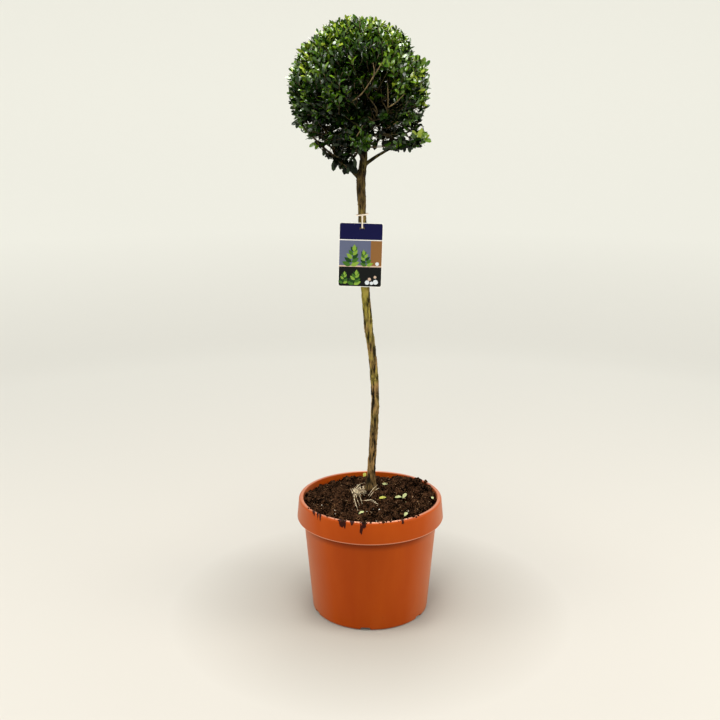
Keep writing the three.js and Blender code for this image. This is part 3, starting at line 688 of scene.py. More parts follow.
# Fallen leaves on the soil: middle, length, turn in degrees, tilt, and whether the leaf is pale.
FALLEN = [
    ((23, -24), 14, 190, 0.1, False), ((64, -13), 14, 52, 0.8, True), ((52, -20), 13, 172, 0.05, True),
    ((117, -4), 11, 100, 0.3, True), ((63, -88), 13, 60, 0.4, True), ((-17, -82), 11, 20, 0.5, True),
    ((-10, 119), 15, 80, 0.7, False), ((29, 50), 12, 190, 0.1, True), ((72, -42), 7, 200, 0.2, True),
    ((66, -36), 6, 280, 0.3, True),
]
FALLEN_FACING = (0, -0.5, 1)
FALLEN_RISE = 1.2  # above the highest soil under a leaf
FALLEN_SPACE = 10  # between a leaf's middle and the nearest crumb
# How many, smallest and largest size, flatness, how far it is sunk, two tints and roughness.
CRUMBS = {
    "soil_crumbs": (2800, 1.2, 6.4, (1.0, 0.8, 0.7), 0.1, (2, 1, 0), (80, 54, 36), 0.9),
    "soil_bark": (260, 2.0, 7.0, (1.0, 0.45, 0.25), -0.05, (26, 15, 8), (134, 98, 66), 0.8),
    "soil_perlite": (36, 0.7, 1.7, (1.0, 0.8, 0.7), -1.6, (196, 188, 172), (232, 228, 216), 0.8),
    "soil_chips": (900, 0.5, 1.3, (1.0, 0.6, 0.4), -1.9, (96, 70, 48), (206, 172, 136), 0.7),
}
BIG_CRUMB = 2.2  # from this size on a crumb is a rounder ball
HEAP = Sizes(crumbs=420, turn=(3, 60), reach=(88, 123), size=(1.2, 4.2), rise=9)
SPILT = Sizes(crumbs=70, turn=(-150, -48), size=(0.5, 1.7))
# A loose tuft of dead fibres in front of the stem, with straws drawn out of it: ends of each straw.
TUFT = Sizes(centre=(-20, -11, 228), size=(14, 15, 10), fibres=58, thick=0.36)
STRAWS = [
    ((-37, -8, 231), (-27, -62, 218)), ((-35, -12, 231), (-23, -78, 217)), ((-30, -14, 231), (-17, -74, 217)),
    ((-24, -16, 229), (-14, -60, 218)), ((-33, -10, 233), (-31, -48, 220)), ((-17, -42, 221), (14, -58, 221)),
    ((-8, -38, 221), (10, -50, 222)), ((-4, -18, 221), (14, 0, 236)), ((-2, -22, 220), (16, -6, 232)),
    ((-26, -2, 231), (-10, 6, 238)),
]
FIBRES = Sizes(count=420, length=(3, 9), thick=(0.2, 0.45), bow=1.2)


def icosphere(subdivisions):
    ball = bmesh.new()
    bmesh.ops.create_icosphere(ball, subdivisions=subdivisions, radius=1)
    vertices = np.array([v.co[:] for v in ball.verts])
    faces = [tuple(v.index for v in f.verts) for f in ball.faces]
    ball.free()
    return vertices, faces


def lumpy(blank, uneven, dice):
    return blank * (1 + uneven * dice.normal(size=(len(blank), 1)))


def turned(dice):
    """A random rotation matrix."""
    q = dice.normal(size=4)
    w, x, y, z = q / norm(q)
    return np.array([
        [1 - 2 * (y * y + z * z), 2 * (x * y - w * z), 2 * (x * z + w * y)],
        [2 * (x * y + w * z), 1 - 2 * (x * x + z * z), 2 * (y * z - w * x)],
        [2 * (x * z - w * y), 2 * (y * z + w * x), 1 - 2 * (x * x + y * y)],
    ])


def soil_spot(dice, reach):
    """A random place on the soil, evenly spread but not on a fallen leaf."""
    while True:
        radius = (inside_radius(SOIL.edge) - 3) * reach * sqrt(dice.random())
        turn = dice.random() * 2 * pi
        x, y = radius * cos(turn), radius * sin(turn)
        if all(dist((x, y), leaf[0]) > FALLEN_SPACE for leaf in FALLEN):
            return x, y, soil_height(x, y)


def crumb_paint(name):
    *_, low, high, roughness = CRUMBS[name]
    paint = Paint(name + "_paint", roughness, 0.02)
    grain = paint.noise(420, 5, 0.65)
    patches = paint.times(paint.noise(55, 2), 0.4)
    paint.base(paint.mixed(paint.range(paint.plus(grain, patches), 0.66, 0.8), low, high))
    paint.bump(grain, 0.5)
    return paint


def make_crumbs():
    dice = np.random.default_rng(21)
    balls = {subdivisions: icosphere(subdivisions) for subdivisions in (1, 2)}
    for name, (count, smallest, largest, flat, sunk, *_) in CRUMBS.items():
        batch = Batch()
        for _ in range(count):
            size = mix(smallest, largest, dice.random() ** 2.2)
            blank, faces = balls[2 if size > BIG_CRUMB else 1]
            shape = lumpy(blank, 0.22, dice) * vec(flat) * size * (1 + 0.3 * dice.random(3))
            if name == "soil_bark":
                lean = turned(dice) * 0.35 + np.eye(3) * 0.65
                yaw = dice.random() * 2 * pi
                spin = np.array([compass(yaw), compass(yaw + pi / 2), UP])
                shape = shape @ spin @ lean.T
            else:
                shape = shape @ turned(dice).T
            batch.add(shape + vec(soil_spot(dice, 0.95)) - UP * size * sunk, faces)
        settle(batch.build(name, crumb_paint(name), flat=True), "soil")


def make_heap():
    """Loose soil heaped against the lip at the back right, and crumbs spilt on the front of the lip."""
    dice = np.random.default_rng(5)
    blank, faces = icosphere(2)
    batch = Batch()

    def add_crumb(x, y, z, size):
        shape = lumpy(blank, 0.2, dice) * size
        batch.add(shape @ turned(dice).T + vec(x, y, z), faces)

    for _ in range(HEAP.crumbs):
        along = dice.random()
        turn, reach = radians(mix(*HEAP.turn, along)), mix(*HEAP.reach, dice.random())
        x, y = reach * cos(turn), reach * sin(turn)
        size = mix(*HEAP.size, dice.random() ** 2)
        add_crumb(x, y, soil_height(x, y) + HEAP.rise * sin(pi * along) * dice.random(), size)
    for _ in range(SPILT.crumbs):
        turn = radians(mix(*SPILT.turn, dice.random()))
        reach = POT.collar_top - POT.lip_width * dice.random()
        size = mix(*SPILT.size, dice.random() ** 2)
        add_crumb(reach * cos(turn), reach * sin(turn), POT.height + size * 0.4, size)
    settle(batch.build("soil_heap", crumb_paint("soil_crumbs"), flat=True), "soil")


def make_tuft():
    dice = np.random.default_rng(9)
    batch = Batch()

    def on_tuft(reach):
        place = unit(dice.normal(size=3)) * vec(TUFT.size) * reach + vec(TUFT.centre)
        place[2] = max(place[2], soil_height(place[0], place[1]) + 1)
        return place

    def strand(points, thick):
        add_strand(batch, Path(points, 5), thick, 0.6 * thick, 4, 10)

    for _ in range(TUFT.fibres):
        start, end = [on_tuft(mix(0.6, 1.15, dice.random())) for _ in range(2)]
        bow = (start + end) / 2 + unit(dice.normal(size=3)) * 4
        strand([start, bow, end], TUFT.thick * mix(0.6, 1.3, dice.random()))
    for start, end in STRAWS:
        sag = (vec(start) + vec(end)) / 2 + UP * 3 + dice.normal(size=3)
        strand([start, sag, end], TUFT.thick * 1.4)
    settle(batch.build("straw_tuft", two_tone("straw")), "soil")


def make_soil_fibres():
    """Bits of root and straw in the peat."""
    dice = np.random.default_rng(33)
    batch = Batch()
    for _ in range(FIBRES.count):
        middle = vec(soil_spot(dice, 0.96)) + UP * 1.4
        turn = dice.random() * 2 * pi
        reach = mix(*FIBRES.length, dice.random() ** 1.5) / 2
        along = compass(turn, 0.5 * dice.normal()) * reach
        bow = middle + FIBRES.bow * dice.normal(size=3)
        thick = mix(*FIBRES.thick, dice.random())
        add_strand(batch, Path([middle - along, bow, middle + along], 4), thick, thick)
    settle(batch.build("soil_fibres", two_tone("peat_fibre")), "soil")


make_crumbs()
make_heap()
make_tuft()
make_soil_fibres()

# Bark, stem and boughs

# Depth, turns round the stem, stretch, lump size, octaves and seed of the lengthwise ridges and the cross
# wrinkles, and the same without turns for the broad swells. Then the warts, the healed scars, and the
# bark's tints with the heights between which they come in or fade.
RIDGES = [(0.5, 9, 0.16, (2.6, 3, 0.0)), (0.2, 4, 1.5, (2.2, 2, 7.0))]
SWELLS = (0.9, (15, 2, 3.0))
WARTS = Sizes(kind=(4.2, 1, 11.0), rare=0.38, height=2.6)
SCAR = Sizes(depth=1.1, length=0.28)
# In BARK, aloft and foot are painted shade: the stem darker under the crown and near the soil.
BARK = Sizes(
    groove=(14, 8, 1), ridge=(150, 118, 72), aloft=(20, 11, 2), algae_groove=(30, 24, 1), foot=(40, 34, 18),
    algae_ridge=(150, 140, 58), dust=(176, 160, 124), aloft_from=(680, 800), algae_from=(280, 500),
    algae_to=(620, 760), foot_from=(260, 222),
)
BOUGH_MESH, LIMB_MESH, BARE_TWIG_MESH = (20, 26), (8, 16), (8, 14)
stem_path = Path(STEM_ROWS[:, :3], 30)


def plain_radius(z):
    return np.interp(z, STEM_ROWS[:, 2], STEM_ROWS[:, 3])


def bark_relief(point, angle, along):
    """Lengthwise ridges, cross wrinkles and small warts, in millimetres."""
    ridges = sum(
        deep * rough((cos(angle) * turns, sin(angle) * turns, along * stretch), *kind)
        for deep, turns, stretch, kind in RIDGES
    )
    wart = max(rough(point, *WARTS.kind) - WARTS.rare, 0) * WARTS.height
    return ridges + SWELLS[0] * rough(point, *SWELLS[1]) + wart


def stem_radius(share, angle):
    point = stem_path.at(share)
    z = point[2]
    flare_lobes = 1 + sum(size * cos(count * angle + turn) for count, size, turn in FLARE.roots)
    flare = FLARE.share * exp(-(z - STEM_FOOT[2]) / FLARE.height) * flare_lobes
    bulge = 0.0
    for height, degrees, size, length in KNOBS:
        facing = max(cos(angle - radians(degrees)), 0) ** 2
        ring = exp(-(((z - height) / length) ** 2))
        scar = exp(-(((z - height) / (length * SCAR.length)) ** 2)) * facing**4
        bulge += size * facing * ring - SCAR.depth * scar
    surface = point + side_of(UP, angle) * plain_radius(z)
    return plain_radius(z) * (1 + flare) + bulge + bark_relief(surface, angle, z)


def bark_paint(name, shade=1.0):
    """Grey-brown bark with olive algae, mostly on the middle of the stem, and painted shade above and below.
    """
    paint = Paint(name, 0.85, 0.1)
    streaks = paint.noise(1, 5, 0.6, paint.stretched(260, 260, 40))
    patches = paint.noise(38, 4, 0.6)
    mottles = paint.noise(1, 3, 0.6, paint.stretched(190, 190, 32))
    grain = paint.times(paint.plus(streaks, mottles), 0.6)
    fine = paint.noise(1, 4, 0.65, paint.stretched(900, 900, 500))
    wood = paint.mixed(paint.range(grain, 0.53, 0.69), (*BARK.groove, shade), (*BARK.ridge, shade))
    # Painted shade on the top of the stem, under the crown.
    aloft = paint.times(paint.rise(*BARK.aloft_from), 0.82)
    wood = paint.mixed(aloft, wood, (*BARK.aloft, shade))
    middle = paint.times(paint.rise(*BARK.algae_from), paint.rise(*BARK.algae_to, 1.0, 0.2))
    algae = paint.times(paint.times(middle, paint.range(patches, 0.38, 0.58)), 0.85)
    green = paint.mixed(paint.range(grain, 0.52, 0.68), BARK.algae_groove, BARK.algae_ridge)
    skin = paint.mixed(algae, wood, green)
    # Painted shadow at the stem's foot, near the soil.
    shadow = paint.times(paint.rise(*BARK.foot_from), 0.6)
    skin = paint.mixed(shadow, skin, BARK.foot)
    paint.base(paint.mixed(paint.range(fine, 0.6, 0.75, 0, 0.35), skin, BARK.dust))
    paint.rough(fine, 0.7, 0.95)
    paint.bump(paint.plus(streaks, fine), 0.6)
    return paint


def make_stem():
    vertices, faces = tube(stem_path, stem_radius, *STEM_MESH)
    vertices = [(x, y, max(z, STEM_FOOT[2])) for x, y, z in vertices]
    settle(piece("trunk_bark", vertices, faces, [bark_paint("bark")]), "bark", "trunk")


make_stem()

# How the finer wood and the leaves are dealt out between the limbs and the clipped surface.
WOOD = Sizes(leaders=12, leader_reach=66, anchors=190, anchor_depth=80, shoots=1250, bough_collar=0.5)
BALL = Sizes(
    depth=4, tuft_size=24, tuft_depth=8, uneven=4, jitter=2.5, above_split=3, outward=0.6, equator=-0.3,
    rise_above=0.75, rise_below=0.35, unrest=0.2, tail=40, thick=(0.95, 0.45), leaf_past=1.5, stray_past=3,
    strays=0.05,
)
SPRAY_WOOD = Sizes(
    shoots=62, leaves=9, leafed=34, bare=0.16, roots=(0.05, 0.97), shortest=12, rise=0.3, thick=(0.75, 0.4),
    hole=12, leaf_past=2, leaf_above=8, beside=100,
)
LEAFY = Sizes(
    per_shoot=12, length=16, leafed=36, oldest_lean=1.1, youngest_lean=0.4, unrest=0.3, youngest=0.66,
    smaller=0.8, vary=0.36,
)
LIGHT = Sizes(level=0.44, up=0.28, aside=0.2, aside_from=0.4, patches=0.16, patch_size=30, unrest=0.16)
BARE_TWIGS = [
    ((-36, -108, 936), (-18, -112, 949), (-1, -113, 972), (17, -108, 1001)),
    ((27, -92, 929), (27, -99, 945), (26, -101, 969)),
    ((27, -92, 929), (40, -97, 937), (54, -97, 951)),
    ((-1, -113, 972), (4, -112, 984), (2, -110, 1000)),
    ((-25, -86, 882), (-20, -90, 890), (-15, -90, 900)),
    ((28, -60, 896), (46, -62, 908), (64, -60, 923)),
    ((-70, -40, 878), (-88, -44, 902), (-107, -45, 927)),
]
limbs = []  # path, radii and root collar of the bigger wood that finer wood grows on from


def limb_radius(path, radii, collar=0.0):
    """Radius along a limb, with a collar at its root and some unevenness."""
    places = np.linspace(0, 1, len(radii))

    def radius_at(share, angle):
        swell = collar * exp(-share * path.length / 5)
        uneven = 0.09 * rough(path.at(share), 7, 2) + 0.07 * rough((angle * 2, share * path.length, 0), 3, 2)
        return np.interp(share, places, radii) * (1 + swell + uneven)

    return radius_at


def add_limb(path, radii, collar=0.0):
    limbs.append((path, radii, collar))
    return path


def on_ball(i, count, radius, first=0.0):
    """Direction and place of a point, spread evenly over a ball by the golden angle."""
    height = 1 - 2 * (i + 0.5) / count
    flat = sqrt(1 - height * height)
    turn = i * GOLDEN + first
    out = vec(flat * cos(turn), flat * sin(turn), height)
    return out, centre + out * radius


bough_paths = {
    name: add_limb(Path([stem_path.at_height(height), *points], 12), radii, WOOD.bough_collar)
    for name, (height, points, radii) in BOUGHS.items()
}
stem_tip = stem_path.at(1)

# The leader rises through the ball, and limbs leave it on all sides.
leader = add_limb(
    Path([stem_tip, stem_tip + vec(-6, 2, 40), centre + vec(4, -3, 22), centre + vec(-2, 4, 68)]),
    [4.7, 3.4, 2.4, 1.4],
)
for i in range(WOOD.leaders):
    out, target = on_ball(i, WOOD.leaders * 1.45, WOOD.leader_reach, 0.6)
    root = leader.at(0.03 + 0.5 * i / WOOD.leaders)
    add_limb(arc(root, leader.heading(0.2) + out * 0.7, target), [2.9, 2.1, 1.3], 0.3)

# Each bough goes on to the middle of its spray, and forks upwards into the ball.
spray_paths = {}
for name, spray in SPRAYS.items():
    bough = bough_paths[name]
    tip, onward, tip_radius = bough.at(1), bough.heading(1), BOUGHS[name][2][-1]
    spray_paths[name] = add_limb(arc(tip, onward, spray.aim), [tip_radius, 1.1])
    for lean in (-28, 24):
        target = centre + compass(radians(spray.azimuth + lean), -0.62) * 74
        add_limb(arc(tip, onward + UP * 0.5, target), [tip_radius * 0.9, 1.6, 1.1])

# Limbs that the photo shows bare: two at the lower left edge, one at the right, and those in the hollow.
fork, right_tip = bough_paths["left"].at(1), bough_paths["right"].at(1)
edge_limbs = [
    add_limb(Path([fork, (-61, -20, 845), (-83, -34, 863.5), (-119.5, -40, 901)]), [2.6, 2.1, 1.7, 1.1]),
    add_limb(Path([fork, (-61, -10, 853), (-95, -13, 888), (-131.5, -15, 925)]), [2.2, 1.8, 1.5, 1.0]),
    add_limb(
        Path([right_tip, (50, -8, 880), (70, -10, 893), (85, -10, 910), (96, -10, 935)]), [2.0, 1.7, 1.4, 0.9]
    ),
]
add_limb(Path([right_tip, (36, -40, 890), (28, -64, 912), (27, -92, 929)]), [1.7, 1.4, 1.2, 1.0])
add_limb(Path([leader.at(0.2), (-40, -50, 922), (-40, -82, 928), (-36, -108, 936)]), [2.0, 1.7, 1.5, 1.2])
add_limb(Path([leader.at(0.35), (30, -40, 946), (66, -50, 953), (84, -56, 968)]), [1.9, 1.5, 1.2, 0.8])

# Places on the limbs that branches leave from.
limb_knots = [
    (path.at(share), path.heading(share))
    for path, _, _ in limbs[len(BOUGHS):]
    for share in np.linspace(0.3, 1, 10)
]


def make_boughs():
    wood = Batch()
    for path, radii, collar in limbs:
        mesh = BOUGH_MESH if collar == WOOD.bough_collar else LIMB_MESH
        wood.add(*tube(path, limb_radius(path, radii, collar), *mesh))
    names = [f"bough_{name}" for name in BOUGHS]
    # The boughs take the bark's wood tints at half brightness, a painted shade for the crown around them.
    settle(wood.build("boughs_bark", bark_paint("bough_bark", 0.5)), "bark", *names)


def make_bare_twigs():
    """Lighter twigs that stand in front of the crown's hollow and its thin places."""
    batch = Batch()
    for points in BARE_TWIGS:
        path = Path(points, 8)
        batch.add(*tube(path, limb_radius(path, [1.0, 0.85, 0.6]), *BARE_TWIG_MESH))
    settle(batch.build("bare_twigs", two_tone("bare_twig")), "bark")


def nearest_to(points, place, below=0.0):
    """The nearest of some points, where one above the place counts as further off."""
    away = norm(points - place, axis=1)
    return int(np.argmin(away + below * np.maximum(points[:, 2] - place[2], 0)))


make_boughs()
make_bare_twigs()

# Knots inside the ball, each on a branch from the nearest limb.
twigs = Batch()
anchors = []
limb_points = np.array([point for point, _ in limb_knots])
for i in range(WOOD.anchors):
    out, place = on_ball(i, WOOD.anchors, WOOD.anchor_depth + 8 * rng.random())
    if place[2] >= CROWN.split + 4:
        root, lead = limb_knots[nearest_to(limb_points, place, 0.5)]
        add_strand(twigs, arc(root, lead + out * 0.4, place), 1.3, 0.9, 5, 5)
        anchors.append(place)
anchors = np.array(anchors)

# Leaves

# Bend back, fold along the midrib and share of the width, for each form of leaf.
LEAF_FORMS = [(0.1, 0.18, 1.0), (0.2, 0.1, 0.92), (0.05, 0.3, 1.08), (0.28, 0.22, 1.0), (-0.06, 0.16, 0.85)]
FALLEN_FORM = (0.2, 0.35, 1.1)
# As shares of the length: width, half thickness, and half widths at stations along the midrib.
LEAF = Sizes(width=0.44, thick=0.014, stations=[0.2, 0.52, 0.85], halves=[0.3, 0.5, 0.36])
RIM_POINTS = 8
LEAVES_PER_PIECE = 7500
# Tint and shine, from the oldest wood's leaves in painted shade to the youngest in painted light: the steps
# are partly the leaves' own age and partly painted light and shade.
LEAF_LOOKS = {
    "deep": ((5, 13, 2), 0.12), "dark": ((20, 40, 6), 0.3), "mid": ((50, 80, 13), 0.6),
    "fresh_and_lit": ((92, 122, 20), 0.7), "young_and_lit": ((144, 162, 46), 0.7),
}
TINT_NAMES = list(LEAF_LOOKS)
TINT_EDGES = [0.24, 0.5, 0.74, 0.97]
# Where the shoots are paler or darker than around them, partly new growth and partly painted light and shade:
# centre, half sizes and by how much.
TONES = [
    ((-20, -70, 880), (22, 60, 20), 0.4), ((-50, -60, 845), (26, 60, 34), -0.1),
    ((90, -10, 880), (20, 40, 16), 0.35), ((-132, -20, 975), (34, 70, 60), -0.06),
    ((96, -20, 985), (34, 80, 60), 0.12), ((-20, -30, 1075), (90, 110, 36), 0.1),
]
# Where the photo shows the crown thin or dented: centre, half sizes, the share of shoots that is kept
# and how much deeper they end.
THIN = [
    ((11, -95, 948), (48, 64, 40), 0.2, 60), ((-6, -112, 966), (44, 30, 46), 0.6, 20),
    ((-20, -80, 905), (84, 66, 24), 0.65, 14), ((34, 0, 882), (34, 140, 18), 0.6, 4),
    ((84, 0, 1032), (16, 140, 12), 0.5, 8),
]
# Where sky shows through the crown: centre and half sizes across and up, and how rarely it does.
SKY = [
    ((34, 884), (38, 26), 0.2), ((-84, 884), (42, 34), 0.3), ((-30, 838), (8, 12), -0.1),
    ((-72, 864), (18, 14), 0.1),
]
SKY_GRAIN = 15
# Gaps that have their own place: x, z and half sizes, half a leaf wider than the gap.
GAPS = [
    ((50, 904), (7, 9)), ((66, 886), (7, 8)), ((19, 892), (5, 7)), ((76, 926), (5, 8)), ((18, 870), (6, 9)),
    ((6, 860), (13, 9)), ((94, 908), (7, 13)), ((-70, 900), (6, 6)), ((-93, 877), (7, 7)),
    ((-75, 860), (8, 8)),
]
# Below the ball the left side narrows to the fork like a cone, and the other sides end higher.
UNDERSIDE = Sizes(axis=(-14, 0), left=818, left_rise=0.95, other=856, other_rise=0.1, start=35, ragged=9)
# Single leaves that stand out at the crown's lower edge: base, heading, length and tint of each.
STRAYS = [
    (81, -40, 876, 0.25, -0.3, 0.9, 20, 4), (83, -40, 878, 0.8, -0.3, 0.55, 17, 3),
    (79, -38, 880, -0.5, -0.3, 0.8, 15, 4), (88, -30, 875, 0.95, 0.0, 0.1, 16, 2),
    (90, -30, 878, 0.8, -0.2, -0.3, 16, 3), (66, -10, 868, 0.2, -0.1, -1, 15, 1),
    (60, -12, 868, -0.1, -0.1, -1, 14, 0), (7, -30, 878, -0.05, -0.2, -1, 20, 0),
    (21, -30, 878, 0.05, -0.1, -1, 16, 0), (-22, -66, 868, 0.2, -0.3, -1, 17, 1),
    (-16, -66, 870, 0.5, -0.3, -0.9, 16, 2), (-10, -66, 872, 0.5, -0.2, -0.9, 15, 1),
    (-28, -66, 866, -0.3, -0.3, -1, 16, 1), (-18, -68, 874, 0.0, -0.3, -1, 15, 2),
    (88, -10, 1000, 0.3, -0.1, 1, 18, 3), (92, -12, 999, 0.6, -0.1, 0.8, 16, 2),
    (36, -20, 870, 0.3, -0.1, -1, 14, 1), (-124, -6, 912, -0.4, -0.2, -0.9, 18, 1),
    (-126, -8, 908, -0.9, -0.2, -0.4, 15, 1), (-92, -6, 876, -0.3, -0.2, -0.9, 17, 2),
    (-94, -8, 872, -0.9, -0.2, -0.5, 17, 3), (-90, -8, 872, -0.5, -0.2, -0.8, 16, 3),
    (-80, -6, 862, -0.3, -0.1, -1, 15, 1), (-72, -6, 856, -0.2, -0.1, -1, 15, 1),
    (-64, -6, 843, -0.1, -0.1, -1, 22, 1), (-58, -8, 842, -0.4, -0.2, -1, 17, 0),
    (-42, -8, 836, -0.25, -0.2, -1, 22, 0), (-50, -8, 842, 0.1, -0.2, -1, 17, 1),
    (-36, -12, 844, 0.1, -0.3, -1, 19, 0), (-30, -12, 846, 0.2, -0.3, -1, 18, 1),
    (-44, -12, 850, -0.1, -0.4, -1, 18, 0), (-36, -12, 834, 0.2, -0.3, -1, 16, 0),
    (-30, -12, 836, -0.1, -0.3, -1, 16, 1), (-34, -10, 838, 0.5, -0.3, -0.8, 16, 0),
    (-32, -12, 832, 0.3, -0.2, -1, 17, 0), (-40, -12, 832, 0.0, -0.2, -1, 15, 1),
    (-27, -12, 830, 0.2, -0.2, -1, 13, 0),
]
leaves = {name: [] for name in TINT_NAMES}  # blade number and placed vertices of each leaf


def leaf_blank(bend, fold, width):
    """A thin closed blade of length 1 along +X, its upper side facing +Z. It has 8 points round its rim."""
    near = [(x, half * width * LEAF.width) for x, half in zip(LEAF.stations, LEAF.halves)]
    rim = [(0.0, 0.0), *near, (1.0, 0.0), *[(x, -y) for x, y in reversed(near)]]
    vertices = [(x, y, fold * abs(y) - bend * x * x) for x, y in rim]
    for side in (LEAF.thick, -LEAF.thick):
        vertices += [(x, 0.0, side - bend * x * x) for x in LEAF.stations]
    left, tip, right = (1, 2, 3), 4, (7, 6, 5)
    faces = []
    for ridge, upper in (((8, 9, 10), True), ((11, 12, 13), False)):
        half = [(0, ridge[0], left[0]), (left[2], ridge[2], tip)]
        half += [(left[i], ridge[i], ridge[i + 1], left[i + 1]) for i in (0, 1)]
        half += [(0, right[0], ridge[0]), (ridge[2], right[2], tip)]
        half += [(ridge[i], right[i], right[i + 1], ridge[i + 1]) for i in (0, 1)]
        faces += [face[::-1] if upper else face for face in half]
    return np.array(vertices), faces


LEAF_BLANKS = [leaf_blank(*form) for form in LEAF_FORMS]


def blade_axes(forward, facing):
    """Rows that turn a blade along a heading, with its upper side towards the facing."""
    side = unit(np.cross(facing, forward))
    return np.array([forward, side, np.cross(forward, side)])


def build_blades(batch, name, *paints):
    """Joins leaves into a piece, with a sharp edge round each."""
    points = len(LEAF_BLANKS[0][0])
    return batch.build(name, *paints, sharp=np.arange(batch.count) % points < RIM_POINTS)


def add_leaf(tint, base, heading, facing, length, dice):
    axes = blade_axes(unit(heading), facing)
    form = int(dice.random() * len(LEAF_BLANKS))
    leaves[TINT_NAMES[tint]].append((form, base + LEAF_BLANKS[form][0] * length @ axes))


def within(point, middle, half):
    return norm((point - vec(middle)) / vec(half)) < 1


def tint_at(point, dice):
    """Which tint a shoot's leaves take: paler at the top and the sides and darker underneath and inside, a
    painted light and shade, with patches and chance.
    """
    out = (point - centre) / CROWN.radius
    light = LIGHT.level + LIGHT.up * out[2] + LIGHT.aside * (abs(out[0]) - LIGHT.aside_from)
    light += sum(by for middle, half, by in TONES if within(point, middle, half))
    patch = LIGHT.patches * rough(point, LIGHT.patch_size, 2, 5.0)
    score = light + patch + LIGHT.unrest * dice.normal()
    return sum(score > edge for edge in TINT_EDGES)


def thinned(point):
    """The share of shoots that is kept at a place, and how much deeper they end."""
    share, dent = 1.0, 0.0
    for middle, half, keep, deeper in THIN:
        if within(point, middle, half):
            share, dent = min(share, keep), max(dent, deeper)
    return share, dent


def apart(point, middle, half):
    """How far a point is from a middle as seen from the front, in half sizes."""
    return hypot((point[0] - middle[0]) / half[0], (point[2] - middle[1]) / half[1])


def in_gap(point, part=1.0):
    return any(apart(point, middle, half) < part for middle, half in GAPS)


def crosses_gap(path):
    return any(in_gap(path.at(share), 0.55) for share in (0.5, 0.7, 0.9))


def open_sky(point):
    """Gaps that run right through the crown from front to back."""
    if in_gap(point):
        return True
    for middle, half, rare in SKY:
        if apart(point, middle, half) < 1:
            return rough((point[0], 0, point[2]), SKY_GRAIN, 2, 21.0) > rare
    return False


def bare_sky(end, dice):
    """Most shoots that would end in such a gap aren't there."""
    return dice.random() < 0.75 and open_sky(end)


def underside(point):
    """The lowest that leaves hang at a place."""
    x, y = point[0] - UNDERSIDE.axis[0], point[1] - UNDERSIDE.axis[1]
    away = hypot(x, y)
    leftness = smooth(-x / max(away, 1), 0.3, 0.8)
    out = max(away - UNDERSIDE.start, 0)
    ragged = UNDERSIDE.ragged * rough((point[0], point[1], 0), 13, 2, 31.0)
    beside = UNDERSIDE.other + UNDERSIDE.other_rise * out
    return ragged + mix(beside, UNDERSIDE.left + UNDERSIDE.left_rise * out, leftness)


def dress(path, count, leafed, dice, allowed):
    """Leaves up the outer part of a shoot, turning by the golden angle and smaller towards its tip."""
    tint = tint_at(path.at(1), dice)
    first = max(0.1, 1 - leafed / path.length)
    first_turn = dice.random() * 2 * pi
    for i in range(count):
        age = 1 - i / (count - 1)
        share = mix(0.98, first, age)
        direction, base = path.heading(share), path.at(share)
        side = side_of(direction, first_turn + i * GOLDEN)
        lean = mix(LEAFY.youngest_lean, LEAFY.oldest_lean, age) + LEAFY.unrest * dice.random()
        heading = direction * cos(lean) + side * sin(lean)
        vary = LEAFY.smaller + LEAFY.vary * dice.random()
        length = LEAFY.length * mix(LEAFY.youngest, 1.0, sqrt(age)) * vary
        if not allowed(base + heading * length) or open_sky(base + heading * length / 2):
            continue
        # Leaves near a shoot's tip may take a paler tint and those near its base a darker one: partly their
        # own age, partly painted light outside and painted shade further in.
        younger_and_lit = age < 0.3 and dice.random() < 0.4
        older_and_shaded = (age > 0.55) + (age > 0.8 and dice.random() < 0.6)
        own = min(max(tint + younger_and_lit - older_and_shaded, 0), len(TINT_NAMES) - 1)
        facing = direction - side * 0.2 + LEAFY.unrest * dice.normal(size=3)
        add_leaf(own, base, heading, facing, length, dice)


def grow_ball():
    """Shoots that turn upwards to end at the clipped surface, in tufts of uneven depth."""
    dice = np.random.default_rng(11)
    for i in range(WOOD.shoots):
        out, surface = on_ball(i, WOOD.shoots, CROWN.radius)
        keep, dent = thinned(surface)
        tuft = 0.5 + rough(surface, BALL.tuft_size, 2, 9.0)
        depth = BALL.depth + BALL.tuft_depth * max(tuft, 0) + BALL.uneven * dice.random() + dent
        end = centre + out * (CROWN.radius - depth) + BALL.jitter * dice.normal(size=3)
        if end[2] < CROWN.split + BALL.above_split or dice.random() > keep or bare_sky(end, dice):
            continue
        rise = BALL.rise_above if out[2] > BALL.equator else BALL.rise_below
        heading = unit(out * BALL.outward + UP * rise + BALL.unrest * dice.normal(size=3))
        path = bend_to(anchors[nearest_to(anchors, end - heading * BALL.tail)], end, heading)
        if crosses_gap(path):
            continue
        add_strand(twigs, path, *BALL.thick)
        stray = BALL.stray_past if dice.random() < BALL.strays else 0

        def allowed(tip):
            reach = CROWN.radius + BALL.leaf_past + stray
            return norm(tip - centre) < reach and tip[2] > underside(tip) and tip[0] > CROWN.left

        dress(path, LEAFY.per_shoot, LEAFY.leafed, dice, allowed)


def shoot_end(spray, i, count, dice):
    """Shoots fan out to both sides of the wedge, low near the stem and high further out."""
    outward = i / (count - 1)
    turn = radians(spray.azimuth + spray.spread * sin(i * GOLDEN) * 0.95)
    reach = mix(spray.reach * 0.4, spray.reach - 5, outward)
    rise = min(max(outward + 0.5 * cos(i * 4) + 0.25 * dice.normal(), 0), 1)
    end = compass(turn) * reach + vec(SPRAY_APEX)
    beside = hypot(end[0] - centre[0], end[1] - centre[1]) > SPRAY_WOOD.beside
    top = spray.high if beside else CROWN.split + 10
    end[2] = mix(spray.low + 4, top - 4, rise)
    end[2] = max(end[2], underside(end) + 5)
    return end


